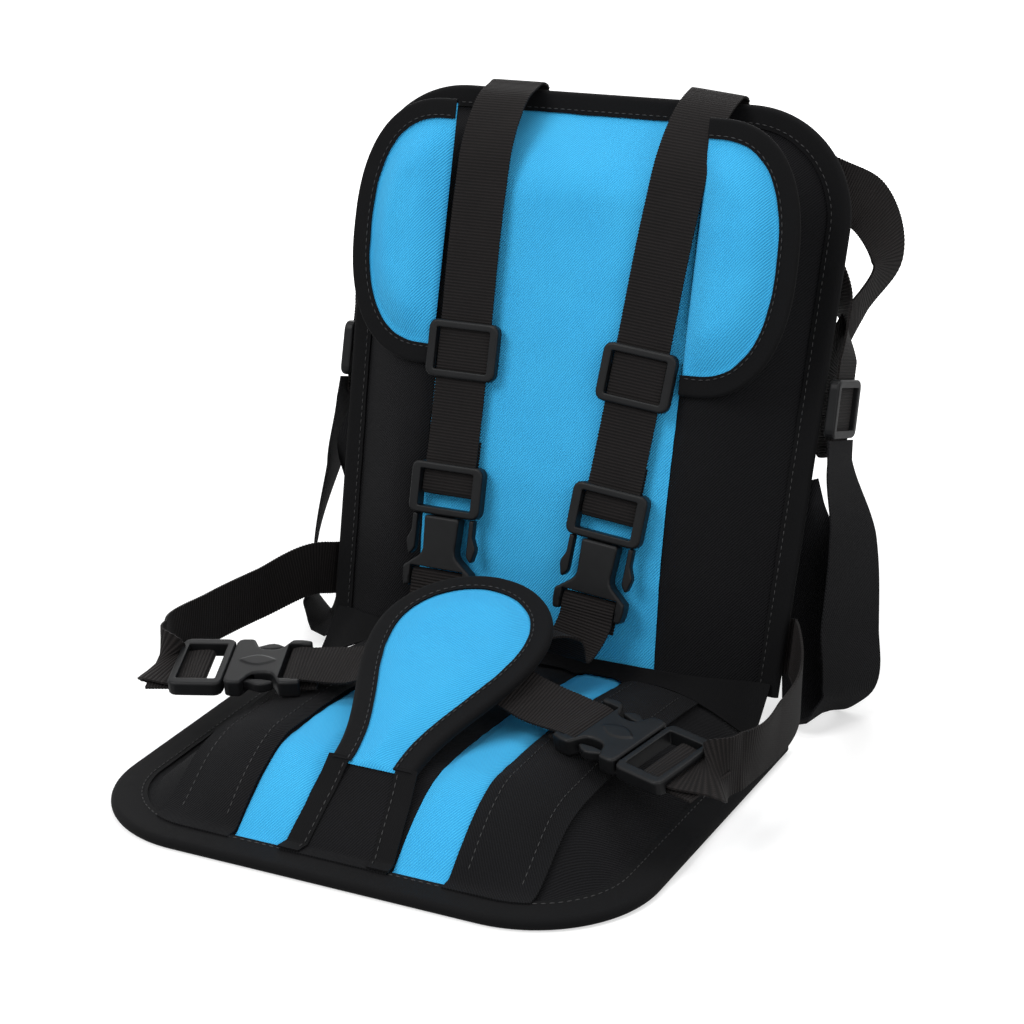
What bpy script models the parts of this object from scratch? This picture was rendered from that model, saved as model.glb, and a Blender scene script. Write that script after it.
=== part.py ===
"""Folding fabric child seat with a five-point harness. Metres, +Z up, the seat's front towards -Y.

The origin is on the floor, under the middle of the seat half. The backrest folds on a line at the seat's rear edge.
"""
import math

import bmesh
import bpy
from mathutils import Matrix, Vector

# Cloth, tape, webbing and the gap between pieces that touch
FIT = 0.0003
TAPE_CLOTH = 0.001
COVER_CLOTH = 0.0016
BASE_CLOTH = 0.0015
BAND_CLOTH = 0.001
BAND_LIFT = 0.0014
PANEL_GAP = 0.0004
SEAM_DIP = 0.002
SEAM_WIDTH = 0.004
WEB_WIDTH = 0.032
WEB_CLOTH = 0.0012
FOLD_GAP = 0.004
FOAM_INSET = 0.006
FOAM_CLEAR = 0.0045
HEM_STEP = 0.004
EDGE_CLEAR = 0.0012
TAPE_CLEAR = 0.002
COVER_ROWS = 10

# Seat half: lengths run forwards from the fold, widths are half widths
SEAT_LENGTH = 0.2435
SEAT_FRONT_HALF = 0.151
SEAT_TAPER = 0.006
SEAT_CORNER = 0.065
SEAT_HEM = 0.0225
SEAT_TAPE = 0.019
SEAT_ROLL = 0.058
SEAT_HEIGHT = 0.0385
SEAT_CROWN_AT = 0.14
FOLD_HEIGHT = 0.0243
STRIPE_INNER = 0.030
STRIPE_OUTER = 0.060
BAND_WIDTH = 0.045

# Backrest half: lengths run up the backrest from the fold
BACK_LENGTH = 0.326
BACK_FOLD_HALF = 0.142
BACK_TOP_HALF = 0.1525
BACK_CORNER = 0.065
BACK_HEM = 0.0135
BACK_TAPE = 0.0125
BACK_ROLL = 0.050
BACK_DEPTH = 0.0245
BACK_BULGE = 0.012
BACK_BULGE_AT = 0.11
BACK_LEAN = math.radians(14.3)
BACK_SEAM = 0.075
BOARD_THICK = 0.003

# Tape over the fold and cloth behind it
VALLEY_HALF = 0.100
VALLEY_ON_SEAT = 0.006
VALLEY_ON_BACK = 0.0095
REAR_STRIP_HALF = 0.115
REAR_STRIP_LAP = 0.018

# Head wings, hinged at their inner seam
WING_SEAM_X = 0.078
WING_CENTRE = 0.239
WING_INNER_GAP = 0.004
WING_REACH = 0.053
WING_HALF = 0.0755
WING_POWER = 2.4
WING_TAPE = 0.0115
WING_CLOTH = 0.0012
WING_CROWN = 0.0095
WING_ROLL = 0.020
WING_SEAM_FLAT = 0.004

# Crotch pad: a tongue that widens into a round head
PAD_FROM_FRONT = 0.058
PAD_SLOPE = math.radians(19.4)
PAD_NECK_HALF = 0.024
PAD_HEAD = 0.050
PAD_HEAD_AT = 0.104
PAD_TAPE = 0.012
PAD_CROWN = 0.004
PAD_ROLL = 0.016
PATCH_FRONT_HALF = 0.030
PATCH_REAR_HALF = 0.024

# Shoulder straps in front of the backrest
STRAP_LEVEL = 0.0176
BUCKLE_LEVEL = 0.0189
BUCKLE_UP = 0.0785
LEFT_STRAP_X = -0.055
RIGHT_STRAP_X = 0.0435
RIGHT_STRAP_SLANT = math.radians(-5.4)
LEFT_SLIDER_UP = 0.0950
RIGHT_SLIDER_UP = 0.0925

# Ladder sliders
SLIDER_HALF = 0.022
SLIDER_LENGTH = 0.033
SLIDER_CORNER = 0.005
SLIDER_BAR = 0.0045
SLIDER_LOW = -0.0029
SLIDER_HIGH = 0.0034
SLIDER_WEB_GAP = 0.00105
SLIDER_MIDDLE = 0.005

# Side-release buckles: y runs from the insert to the socket, z out of the face
BUCKLE_HALF = 0.0225
INSERT_LENGTH = 0.030
INSERT_THICK = 0.0084
INSERT_CORNER = 0.0045
INSERT_BAR = 0.0042
WINDOW_HALF = 0.0168
WEB_ROOF = 0.0013
CROSS_BAR_AT = -0.0155
CROSS_BAR = 0.004
CROSS_BAR_LOW = -0.0026
CROSS_BAR_HIGH = -0.0008
TONGUE_HALF = 0.0042
TONGUE_LENGTH = 0.022
TONGUE_THICK = 0.0032
TONGUE_CORNER = 0.0015
TONGUE_CLEAR = 0.0008
TONGUE_END_CLEAR = 0.002
SOCKET_HALF = 0.0215
SOCKET_START = 0.0006
SOCKET_LENGTH = 0.042
SOCKET_THICK = 0.010
SOCKET_NECK = 0.010
SOCKET_WAIST = 0.0115
SOCKET_BAR = 0.003
SOCKET_BAR_THICK = 0.0032
SOCKET_SLOT = 0.0036
SOCKET_LEG = 0.0056
SOCKET_LEG_TIP = 0.0205
SOCKET_FLARE_LENGTH = 0.008
SOCKET_FLARE_RADIUS = 0.006
SOCKET_FLARE_CORNER = 0.0025
MOUTH_DEPTH = 0.016
MOUTH_HIGH = 0.0064
MOUTH_WALL = 0.003
MOUTH_COLLAR = 0.0095
MOUTH_COLLAR_CORNER = 0.0035
WAIST_HOLLOW_START = 0.0145
WAIST_HOLLOW_LEFT = 0.0045
WAIST_HOLLOW_RADIUS = 0.005
LENS_AT = 0.0160
LENS_HALF_LENGTH = 0.0105
LENS_HALF = 0.0060
LENS_RISE = 0.0005
PRONG_THICK = 0.0056
PRONG_ROOT = 0.0003
SHOULDER_PRONG_X = 0.0180
WAIST_PRONG_X = 0.0158
PRONG_ARM = 0.003
PRONG_CHAMFER = 0.0006
SHOULDER_PRONG_STRAIGHT = 0.010
SHOULDER_PAD_AT = 0.0165
SHOULDER_PAD_OUT = 0.0028
SHOULDER_PRONG_LENGTH = 0.0255
SHOULDER_PRONG_INNER = 0.021
WAIST_PRONG_STRAIGHT = 0.0125
WAIST_PAD_AT = 0.0205
WAIST_PAD_OUT = 0.0042
WAIST_PRONG_LENGTH = 0.0290
CHAMFER = 0.0009
CUT_REACH = 0.01
JOIN_LAP = 0.001
WRAP_CLEAR = 0.0002

# Waist buckles beside the crotch pad: offset from the pad's foot, then directions along and out of the face
WAIST_FROM_PAD = Vector((0.1213, 0.05835, 0.01258))
WAIST_ALONG = Vector((-0.946, 0.324, 0.034))
WAIST_FACE = Vector((0.0, -0.19, 0.98))

# Fixing straps behind the backrest
REAR_SLIDER_INSIDE = 0.0005
REAR_SLIDER_UP = 0.165
REAR_SLIDER_BEHIND = 0.0185
REAR_BAND_WIDTH = 0.046

# Heights in the sewn hem, from its lower face
HEM_LOW = TAPE_CLOTH + FIT
HEM_TOP = HEM_LOW + BASE_CLOTH + FIT + COVER_CLOTH
HEM_THICK = HEM_TOP + FIT + TAPE_CLOTH
EDGE_INSET = TAPE_CLOTH + EDGE_CLEAR
FOLD_Y = SEAT_LENGTH / 2
PAD_AT = SEAT_LENGTH - PAD_FROM_FRONT
SIDES = (("l", -1), ("r", 1))

for old in list(bpy.data.objects):
    bpy.data.objects.remove(old)
PARTS = bpy.data.collections.new("booster_seat")
bpy.context.scene.collection.children.link(PARTS)


def material(name, colour, roughness):
    made = bpy.data.materials.new(name)
    made.use_nodes = True
    surface = made.node_tree.nodes["Principled BSDF"]
    surface.inputs["Base Color"].default_value = (*colour, 1.0)
    surface.inputs["Roughness"].default_value = roughness
    surface.inputs["Metallic"].default_value = 0.0
    made.diffuse_color = (*colour, 1.0)
    return made


BLUE = material("blue_cloth", (0.03, 0.37, 0.87), 0.75)
BLACK = material("black_cloth", (0.012, 0.012, 0.014), 0.85)
TAPE = material("binding_tape", (0.010, 0.010, 0.011), 0.80)
WEBBING = material("webbing", (0.016, 0.014, 0.014), 0.80)
PLASTIC = material("black_plastic", (0.018, 0.019, 0.021), 0.42)
FOAM = material("foam", (0.75, 0.74, 0.70), 0.95)
BOARD = material("board", (0.20, 0.16, 0.11), 0.80)


def ease(t):
    """Quarter sine from 0 to 1, flat past both ends."""
    return math.sin(math.pi / 2 * min(max(t, 0.0), 1.0))


def between(knots, t):
    """Value at t on the broken line through (t, value) knots."""
    for (low, a), (high, b) in zip(knots, knots[1:]):
        if t <= high:
            return a + (b - a) * (t - low) / (high - low)
    return knots[-1][1]


def frame(name, matrix, parent=None):
    """An empty that carries pieces, set at a matrix in its parent's frame."""
    empty = bpy.data.objects.new(name, None)
    PARTS.objects.link(empty)
    empty.parent = parent
    empty.matrix_basis = matrix
    return empty


def part(name, mesh, parent, finish, location=(0.0, 0.0, 0.0)):
    """One named piece on its frame."""
    made = bpy.data.objects.new(name, mesh)
    PARTS.objects.link(made)
    made.parent = parent
    made.location = location
    if not mesh.materials:
        mesh.materials.append(finish)
    mesh.shade_smooth()
    mesh.set_sharp_from_angle(angle=math.radians(40))
    return made


class Cushion:
    """Height of one padded half, in its frame: x across, y from the fold, z out of the padded face."""

    def __init__(self, length, fold_half, far_half, corner, hem, roll, level, fold_top, top, top_at, seams):
        self.length = length
        self.fold_half = fold_half
        self.far_half = far_half
        self.corner = corner
        self.hem = hem
        self.roll = roll
        self.level = level
        self.fold_rise = fold_top - level - HEM_TOP
        self.crown = top - level - HEM_TOP
        self.top_at = top_at
        self.seams = seams

    def edge(self, y, inset=0.0):
        """Half width of the outline at y, drawn in by an inset and rounded at the far corners."""
        half = self.fold_half + (self.far_half - self.fold_half) * y / self.length - inset
        into = y - (self.length - self.corner)
        if into > 0:
            radius = self.corner - inset
            half -= radius - math.sqrt(max(radius ** 2 - into ** 2, 0.0))
        return half

    def inside(self, x, y):
        """Distance inside the hem line."""
        return min(self.edge(y, self.hem) - abs(x), self.length - self.hem - y)

    def cover(self, x, y):
        """Outer face of the cover: a crown that rolls down to the hem, drawn in along its seams."""
        body = self.fold_rise + (self.crown - self.fold_rise) * ease(y / self.top_at)
        share = ease((self.edge(y, self.hem) - abs(x)) / self.roll)
        share *= ease((self.length - self.hem - y) / self.roll)
        dip = sum(math.exp(-((abs(x) - seam) / SEAM_WIDTH) ** 2) for seam in self.seams)
        return self.level + HEM_TOP + (body - SEAM_DIP * dip) * share

    def outline(self, near, straight_steps=4, arc_steps=8):
        """Clockwise edge from the fold's left end round the far corners to its right end."""
        start = self.length - self.corner
        right = [Vector((self.edge(start) - self.corner, self.length))]
        for step in range(1, arc_steps + 1):
            turn = math.pi / 2 * step / arc_steps
            y = start + self.corner * math.cos(turn)
            right.append(Vector((self.edge(y), y)))
        for step in range(1, straight_steps + 1):
            y = start + (near - start) * step / straight_steps
            right.append(Vector((self.edge(y), y)))
        left = [Vector((-p.x, p.y)) for p in reversed(right)]
        return left + right


SEAT = Cushion(SEAT_LENGTH, SEAT_FRONT_HALF + SEAT_TAPER, SEAT_FRONT_HALF, SEAT_CORNER, SEAT_HEM,
               SEAT_ROLL, 0.0, FOLD_HEIGHT, SEAT_HEIGHT, SEAT_CROWN_AT, (STRIPE_INNER, STRIPE_OUTER))
BACK = Cushion(BACK_LENGTH, BACK_FOLD_HALF, BACK_TOP_HALF, BACK_CORNER, BACK_HEM, BACK_ROLL,
               -BACK_DEPTH, 0.0, BACK_BULGE, BACK_BULGE_AT, (BACK_SEAM,))

# Frames of the two halves, of the crotch pad and of the harness
PAD_HEIGHT = SEAT.cover(0.0, PAD_AT) + BAND_LIFT + BAND_CLOTH + 2 * FIT
SEAT_AT = Matrix.Translation((0.0, FOLD_Y, 0.0)) @ Matrix.Rotation(math.pi, 4, "Z")
BACK_AT = Matrix.Translation((0.0, FOLD_Y, FOLD_HEIGHT)) @ Matrix.Rotation(math.pi / 2 - BACK_LEAN, 4, "X")
PAD_FRAME_AT = Matrix.Translation((0.0, FOLD_Y - PAD_AT, PAD_HEIGHT)) @ Matrix.Rotation(PAD_SLOPE, 4, "X")
HALF_TURN = Matrix.Rotation(math.pi, 4, "Z")

SEAT_FRAME = frame("seat_frame", SEAT_AT)
BACK_FRAME = frame("backrest_frame", BACK_AT)
PAD_FRAME = frame("crotch_pad_frame", PAD_FRAME_AT)
WORLD_FRAME = frame("floor_frame", Matrix.Identity(4))


def sheet(name, parent, columns, rows, place, cloth, finish, offset=-1.0):
    """Cloth of one thickness over a surface place(u, v); offset -1 keeps that surface as the outer face."""
    mesh = bpy.data.meshes.new(name)
    grid = bmesh.new()
    bmesh.ops.create_grid(grid, x_segments=columns, y_segments=rows, size=0.5)
    for vert in grid.verts:
        vert.co = place(vert.co.x + 0.5, vert.co.y + 0.5)
    grid.to_mesh(mesh)
    grid.free()
    made = part(name, mesh, parent, finish)
    solid = made.modifiers.new("Cloth", "SOLIDIFY")
    solid.thickness = cloth
    solid.offset = offset
    solid.use_even_offset = True
    return made


def pad(name, parent, columns, rows, place, low, high, finish):
    """Closed block between two heights low(x, y) and high(x, y) over the area place(u, v)."""
    mesh = bpy.data.meshes.new(name)
    block = bmesh.new()
    bmesh.ops.create_grid(block, x_segments=columns, y_segments=rows, size=0.5)
    below = list(block.verts)
    raised = bmesh.ops.extrude_face_region(block, geom=block.faces[:], use_keep_orig=True)
    above = [item for item in raised["geom"] if isinstance(item, bmesh.types.BMVert)]
    for verts, height in ((below, low), (above, high)):
        for vert in verts:
            x, y = place(vert.co.x + 0.5, vert.co.y + 0.5)
            vert.co = (x, y, height(x, y))
    bmesh.ops.recalc_face_normals(block, faces=block.faces[:])
    block.to_mesh(mesh)
    block.free()
    return part(name, mesh, parent, finish)


def binding(name, parent, route, width, thick, level, finish):
    """Tape folded round an edge: a U section carried along a clockwise route."""
    section = ((width, 0.0), (0.0, 0.0), (0.0, thick), (width, thick))
    last = len(route) - 1

    def place(u, v):
        inset, height = section[round(u * 3)]
        step = round(v * last)
        along = (route[min(step + 1, last)] - route[max(step - 1, 0)]).normalized()
        spot = route[step] + Vector((along.y, -along.x)) * inset
        return Vector((spot.x, spot.y, level + height))

    return sheet(name, parent, 3, last, place, TAPE_CLOTH, finish)


def smooth(stations, steps):
    """Points on a smooth curve through (centre, side) stations, with the sides turning evenly between them."""
    spots = [Vector(centre) for centre, _ in stations]
    sides = [Vector(side).normalized() for _, side in stations]
    runs = [(b - a).length for a, b in zip(spots, spots[1:])]
    ways = [(b - a) / run for a, b, run in zip(spots, spots[1:], runs)]
    tangents = [ways[0]]
    for i in range(1, len(ways)):
        tangents.append((ways[i - 1] * runs[i] + ways[i] * runs[i - 1]) / (runs[i - 1] + runs[i]))
    tangents.append(ways[-1])
    points = []
    for i, run in enumerate(runs):
        for step in range(steps + (i == len(runs) - 1)):
            t = step / steps
            spot = spots[i] * (2 * t ** 3 - 3 * t ** 2 + 1) + spots[i + 1] * (3 * t ** 2 - 2 * t ** 3)
            spot += tangents[i] * run * (t ** 3 - 2 * t ** 2 + t) + tangents[i + 1] * run * (t ** 3 - t ** 2)
            points.append((spot, sides[i].lerp(sides[i + 1], t).normalized()))
    return points


def ribbon(name, parent, stations, width, cloth, finish, steps=2):
    """Flat strap through (centre, side) stations; side points across its width."""
    points = smooth(stations, steps)
    last = len(points) - 1

    def place(u, v):
        spot, side = points[round(v * last)]
        return spot + side * width * (u - 0.5)

    return sheet(name, parent, 1, last, place, cloth, finish, offset=0.0)


def rounded(corners, steps=4):
    """Outline of a polygon whose (x, y, radius) corners become arcs."""
    outline = []
    count = len(corners)
    for i, (x, y, radius) in enumerate(corners):
        here = Vector((x, y))
        back = (Vector(corners[i - 1][:2]) - here).normalized()
        ahead = (Vector(corners[(i + 1) % count][:2]) - here).normalized()
        half = back.angle(ahead) / 2
        centre = here + (back + ahead).normalized() * radius / math.sin(half)
        first = here + back * radius / math.tan(half) - centre
        final = here + ahead * radius / math.tan(half) - centre
        turn = first.angle_signed(final)
        for step in range(steps + 1):
            outline.append(centre + Matrix.Rotation(-turn * step / steps, 2) @ first)
    return outline


def block_corners(half, start, end, radius):
    """Corners of a rectangle of a half width, from one y to another."""
    return [(half, start, radius), (half, end, radius), (-half, end, radius), (-half, start, radius)]


def mirrored(right_side):
    """Whole outline from the corners of its right side."""
    return right_side + [(-x, y, radius) for x, y, radius in reversed(right_side)]


def plate(corners, low, high, chamfer=0.0, steps=3):
    """Moulding with a rounded outline between two heights, as a mesh."""
    curve = bpy.data.curves.new("outline", "CURVE")
    curve.dimensions = "2D"
    curve.fill_mode = "BOTH"
    curve.extrude = (high - low) / 2 - chamfer
    curve.bevel_depth = chamfer
    curve.bevel_resolution = 0
    curve.offset = -chamfer
    outline = rounded(corners, steps)
    spline = curve.splines.new("POLY")
    spline.points.add(len(outline) - 1)
    spline.use_cyclic_u = True
    for point, spot in zip(spline.points, outline):
        point.co = (spot.x, spot.y, 0.0, 1.0)
    holder = bpy.data.objects.new("outline", curve)
    bpy.context.scene.collection.objects.link(holder)
    bpy.context.view_layer.update()
    mesh = bpy.data.meshes.new_from_object(holder.evaluated_get(bpy.context.evaluated_depsgraph_get()))
    bpy.data.objects.remove(holder)
    shape = bmesh.new()
    shape.from_mesh(mesh)
    bmesh.ops.remove_doubles(shape, verts=shape.verts[:], dist=0.00001)
    bmesh.ops.translate(shape, verts=shape.verts[:], vec=(0.0, 0.0, (low + high) / 2))
    bmesh.ops.recalc_face_normals(shape, faces=shape.faces[:])
    shape.to_mesh(mesh)
    shape.free()
    return mesh


def box(low, high):
    """Rectangular block between two corners, as a mesh."""
    mesh = bpy.data.meshes.new("block")
    shape = bmesh.new()
    bmesh.ops.create_cube(shape, size=1.0)
    for vert in shape.verts:
        vert.co = [a + (b - a) * (c + 0.5) for a, b, c in zip(low, high, vert.co)]
    shape.to_mesh(mesh)
    shape.free()
    return mesh


def carved(name, body, cuts, joins):
    """Moulding with pieces cut away and then pieces joined on, as one mesh."""
    helpers = []
    for mesh in [body] + cuts + joins:
        helper = bpy.data.objects.new(name, mesh)
        bpy.context.scene.collection.objects.link(helper)
        helpers.append(helper)
    for i, helper in enumerate(helpers[1:]):
        change = helpers[0].modifiers.new("Change", "BOOLEAN")
        change.operation = "DIFFERENCE" if i < len(cuts) else "UNION"
        change.solver = "EXACT"
        change.object = helper
    bpy.context.view_layer.update()
    made = bpy.data.meshes.new_from_object(helpers[0].evaluated_get(bpy.context.evaluated_depsgraph_get()))
    made.name = name
    made.materials.clear()
    for helper in helpers:
        bpy.data.objects.remove(helper)
    shape = bmesh.new()
    shape.from_mesh(made)
    bmesh.ops.remove_doubles(shape, verts=shape.verts[:], dist=0.00001)
    bmesh.ops.dissolve_degenerate(shape, edges=shape.edges[:], dist=0.00001)
    bmesh.ops.triangulate(shape, faces=shape.faces[:])
    shape.to_mesh(made)
    shape.free()
    return made


def row(cushion, v):
    """Distance from the fold of a cover's row: closer rows on the front roll, then the hem."""
    near = FOLD_GAP / 2
    step_line = cushion.length - cushion.hem - HEM_STEP
    if v <= 0.7:
        return near + (step_line - near) * ease(v / 0.7)
    return between(((0.7, step_line), (0.8, step_line + HEM_STEP), (1.0, cushion.length - EDGE_INSET)), v)


def strip_panel(name, parent, cushion, left, right, columns, finish):
    """Cover panel between two straight seams, from the fold to the far hem."""

    def place(u, v):
        x = left + (right - left) * u
        y = row(cushion, v)
        return Vector((x, y, cushion.cover(x, y)))

    return sheet(name, parent, columns, COVER_ROWS, place, COVER_CLOTH, finish)


def edge_panel(name, parent, cushion, seam, side, columns, finish):
    """Cover panel from a straight seam out to the rounded edge, on the side given by its sign."""

    def place(u, v):
        y = row(cushion, v)
        rim = cushion.edge(y, EDGE_INSET)
        hem_line = min(cushion.edge(y, cushion.hem), rim - 0.15 * (rim - seam))
        x = between(((0.0, seam), (0.75, hem_line), (1.0, rim)), u if side > 0 else 1 - u)
        return Vector((side * x, y, cushion.cover(x, y)))

    return sheet(name, parent, columns, COVER_ROWS, place, COVER_CLOTH, finish)


def backing(name, parent, cushion, finish):
    """Plain cloth under a cushion: a flange in the hem, dropped to the outer face inside it."""

    def place(u, v):
        y = row(cushion, v)
        rim = cushion.edge(y, EDGE_INSET)
        hem_line = min(cushion.edge(y, cushion.hem), 0.93 * rim)
        inner = hem_line - HEM_STEP
        x = between(((0.0, -rim), (0.125, -hem_line), (0.25, -inner), (0.75, inner), (0.875, hem_line), (1.0, rim)),
                    u)
        drop = min(max(cushion.inside(x, y) / HEM_STEP, 0.0), 1.0)
        return Vector((x, y, cushion.level + HEM_LOW * (1 - drop)))

    return sheet(name, parent, 8, COVER_ROWS, place, BASE_CLOTH, finish, offset=1.0)


def filling(name, parent, cushion, low, high, inset, finish):
    """Block inside the hem between two heights."""
    near = FOLD_GAP / 2 + FIT
    far = cushion.length - cushion.hem - inset

    def place(u, v):
        y = near + (far - near) * ease(v)
        return (2 * u - 1) * cushion.edge(y, cushion.hem + inset), y

    return pad(name, parent, 8, 8, place, low, high, finish)


def build_seat():
    """Seat half: five cover panels, two sewn bands, foam, bottom cloth and hem tape."""
    gap = PANEL_GAP / 2
    strip_panel("seat_cover_center", SEAT_FRAME, SEAT, gap - STRIPE_INNER, STRIPE_INNER - gap, 4, BLACK)
    for tag, world_side in SIDES:
        side = -world_side
        left, right = sorted((side * (STRIPE_INNER + gap), side * (STRIPE_OUTER - gap)))
        strip_panel("seat_cover_blue_" + tag, SEAT_FRAME, SEAT, left, right, 3, BLUE)
        edge_panel("seat_cover_outer_" + tag, SEAT_FRAME, SEAT, STRIPE_OUTER + gap, side, 8, BLACK)
        build_band("seat_side_band_" + tag, side)
    backing("seat_base", SEAT_FRAME, SEAT, BLACK)
    floor = BASE_CLOTH + FIT
    filling("seat_foam", SEAT_FRAME, SEAT, lambda x, y: floor, lambda x, y: SEAT.cover(x, y) - FOAM_CLEAR,
            FOAM_INSET, FOAM)
    binding("seat_binding", SEAT_FRAME, SEAT.outline(FOLD_GAP / 2), SEAT_TAPE, HEM_THICK, 0.0, TAPE)


def on_seat(x, y):
    """Outer face of cloth sewn over the seat cover."""
    return Vector((x, y, SEAT.cover(x, y) + BAND_LIFT + BAND_CLOTH))


def front_row(start, x, v):
    """Distance from the fold of a row of cloth that ends at the front tape's inner edge."""
    radius = SEAT_CORNER - SEAT_TAPE
    past = max(abs(x) - (SEAT_FRONT_HALF - SEAT_CORNER), 0.0)
    end = SEAT_LENGTH - SEAT_CORNER + math.sqrt(radius ** 2 - past ** 2) - 3 * FIT
    return start + (end - start) * ease(v)


def build_band(name, side):
    """Fabric band over the outer panel, from the fold tape to the front hem."""
    inner = STRIPE_OUTER + PANEL_GAP / 2
    start = VALLEY_ON_SEAT + 2 * FIT

    def place(u, v):
        across = inner + BAND_WIDTH * (u if side > 0 else 1 - u)
        return on_seat(side * across, front_row(start, across, v))

    sheet(name, SEAT_FRAME, 5, 12, place, BAND_CLOTH, BLACK)


def build_fold():
    """Tape in the valley of the fold, and cloth that closes the fold behind."""
    lift = BAND_LIFT + BAND_CLOTH

    def valley(u, v):
        x = VALLEY_HALF * (2 * u - 1)
        on_back = BACK_AT @ Vector((x, VALLEY_ON_BACK, BACK.cover(x, VALLEY_ON_BACK) + lift))
        seat_line = FOLD_GAP * 0.75
        fold = Vector((x, FOLD_Y - seat_line, SEAT.cover(x, seat_line) + 1.5 * lift))
        front = Vector((x, FOLD_Y - VALLEY_ON_SEAT, SEAT.cover(x, VALLEY_ON_SEAT) + lift))
        return (front, fold, on_back)[round(2 * v)]

    sheet("fold_seam_band", WORLD_FRAME, 16, 2, valley, BAND_CLOTH, TAPE)

    behind = -BACK_DEPTH - FIT - BAND_CLOTH
    lap = BACK_AT @ Vector((0.0, REAR_STRIP_LAP, behind))
    foot = BACK_AT @ Vector((0.0, 0.0, behind))
    heel = Vector((0.0, FOLD_Y - FOLD_GAP / 2 + BAND_CLOTH + 2 * FIT, BASE_CLOTH + BAND_CLOTH))
    across = Vector((1.0, 0.0, 0.0))
    route = [(heel, across), (heel.lerp(foot, 0.5) - Vector((0.0, 0.0, BASE_CLOTH)), across), (foot, across),
             (lap, across)]
    ribbon("fold_back_strip", WORLD_FRAME, route, 2 * REAR_STRIP_HALF, BAND_CLOTH, BLACK)


def build_backrest():
    """Backrest half: three cover panels, board, foam, rear cloth and hem tape."""
    gap = PANEL_GAP / 2
    strip_panel("back_cover_blue", BACK_FRAME, BACK, gap - BACK_SEAM, BACK_SEAM - gap, 10, BLUE)
    for tag, side in SIDES:
        edge_panel("back_cover_side_" + tag, BACK_FRAME, BACK, BACK_SEAM + gap, side, 8, BLACK)
    backing("back_rear_cover", BACK_FRAME, BACK, BLACK)
    board_low = BACK.level + BASE_CLOTH + FIT
    board_high = board_low + BOARD_THICK
    filling("back_board", BACK_FRAME, BACK, lambda x, y: board_low, lambda x, y: board_high, 2 * FOAM_INSET, BOARD)
    filling("back_foam", BACK_FRAME, BACK, lambda x, y: board_high + FIT,
            lambda x, y: BACK.cover(x, y) - FOAM_CLEAR, 2 * FOAM_INSET, FOAM)
    binding("back_binding", BACK_FRAME, BACK.outline(FOLD_GAP / 2), BACK_TAPE, HEM_THICK, BACK.level, TAPE)


def wing_reach(y, inset):
    """Reach of the wing's round edge from its seam at a height from its middle."""
    tall = min(abs(y) / (WING_HALF - inset), 1.0)
    return (WING_REACH - inset) * (1 - tall ** WING_POWER) ** (1 / WING_POWER)


def wing_point(turn):
    """Point on the wing's round edge: turn runs from pi/2 at its top to -pi/2 at its foot."""
    power = 2 / WING_POWER
    x = WING_REACH * math.cos(turn) ** power
    y = WING_HALF * math.copysign(abs(math.sin(turn)) ** power, turn)
    return Vector((WING_INNER_GAP + x, y))


def build_wings():
    """Padded head wings, each a half-round flap with tape on its round edge."""
    hem_low = TAPE_CLOTH + FIT
    hem_high = hem_low + WING_CLOTH
    turns = 18
    tip = 0.985 * (WING_HALF - EDGE_INSET)
    flat = WING_TAPE + TAPE_CLEAR
    rows = ((0.0, -tip), (1 / 12, flat - WING_HALF), (11 / 12, WING_HALF - flat), (1.0, tip))
    for tag, side in SIDES:
        seam_at = Matrix.Translation((side * WING_SEAM_X, WING_CENTRE, BACK_BULGE + 2 * FIT))
        hinge = frame("wing_hinge_" + tag, seam_at, BACK_FRAME)

        def place(u, v, side=side):
            y = between(rows, v)
            rim = wing_reach(y, EDGE_INSET)
            tape_line = max(wing_reach(y, flat), 0.3 * rim)
            across = between(((0.0, 0.0), (5 / 7, tape_line), (1.0, rim)), u if side > 0 else 1 - u)
            return side * (WING_INNER_GAP + across), y

        def high(x, y):
            across = abs(x) - WING_INNER_GAP
            reach = max(across, 0.0) / (WING_REACH - flat)
            tall = abs(y) / (WING_HALF - flat)
            inward = 1 - (reach ** WING_POWER + tall ** WING_POWER) ** (1 / WING_POWER)
            from_edge = ease(inward * WING_REACH / WING_ROLL)
            from_seam = ease((across - WING_SEAM_FLAT) / WING_ROLL)
            return hem_high + WING_CROWN * from_edge * from_seam

        pad("wing_pad_" + tag, hinge, 7, 12, place, lambda x, y: hem_low, high, BLUE)
        route = [wing_point(math.pi / 2 - math.pi * step / turns) for step in range(turns + 1)]
        if side < 0:
            route = [Vector((-p.x, p.y)) for p in reversed(route)]
        binding("wing_binding_" + tag, hinge, route, WING_TAPE, hem_high + FIT + TAPE_CLOTH, 0.0, TAPE)


def pad_half(s, inset):
    """Half width of the crotch pad, drawn in by an inset: a widening tongue, then a round head."""
    if s > PAD_HEAD_AT:
        return math.sqrt(max((PAD_HEAD - inset) ** 2 - (s - PAD_HEAD_AT) ** 2, 0.0))
    swell = 0.5 - 0.5 * math.cos(math.pi * s / PAD_HEAD_AT)
    return PAD_NECK_HALF + (PAD_HEAD - PAD_NECK_HALF) * swell - inset


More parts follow.
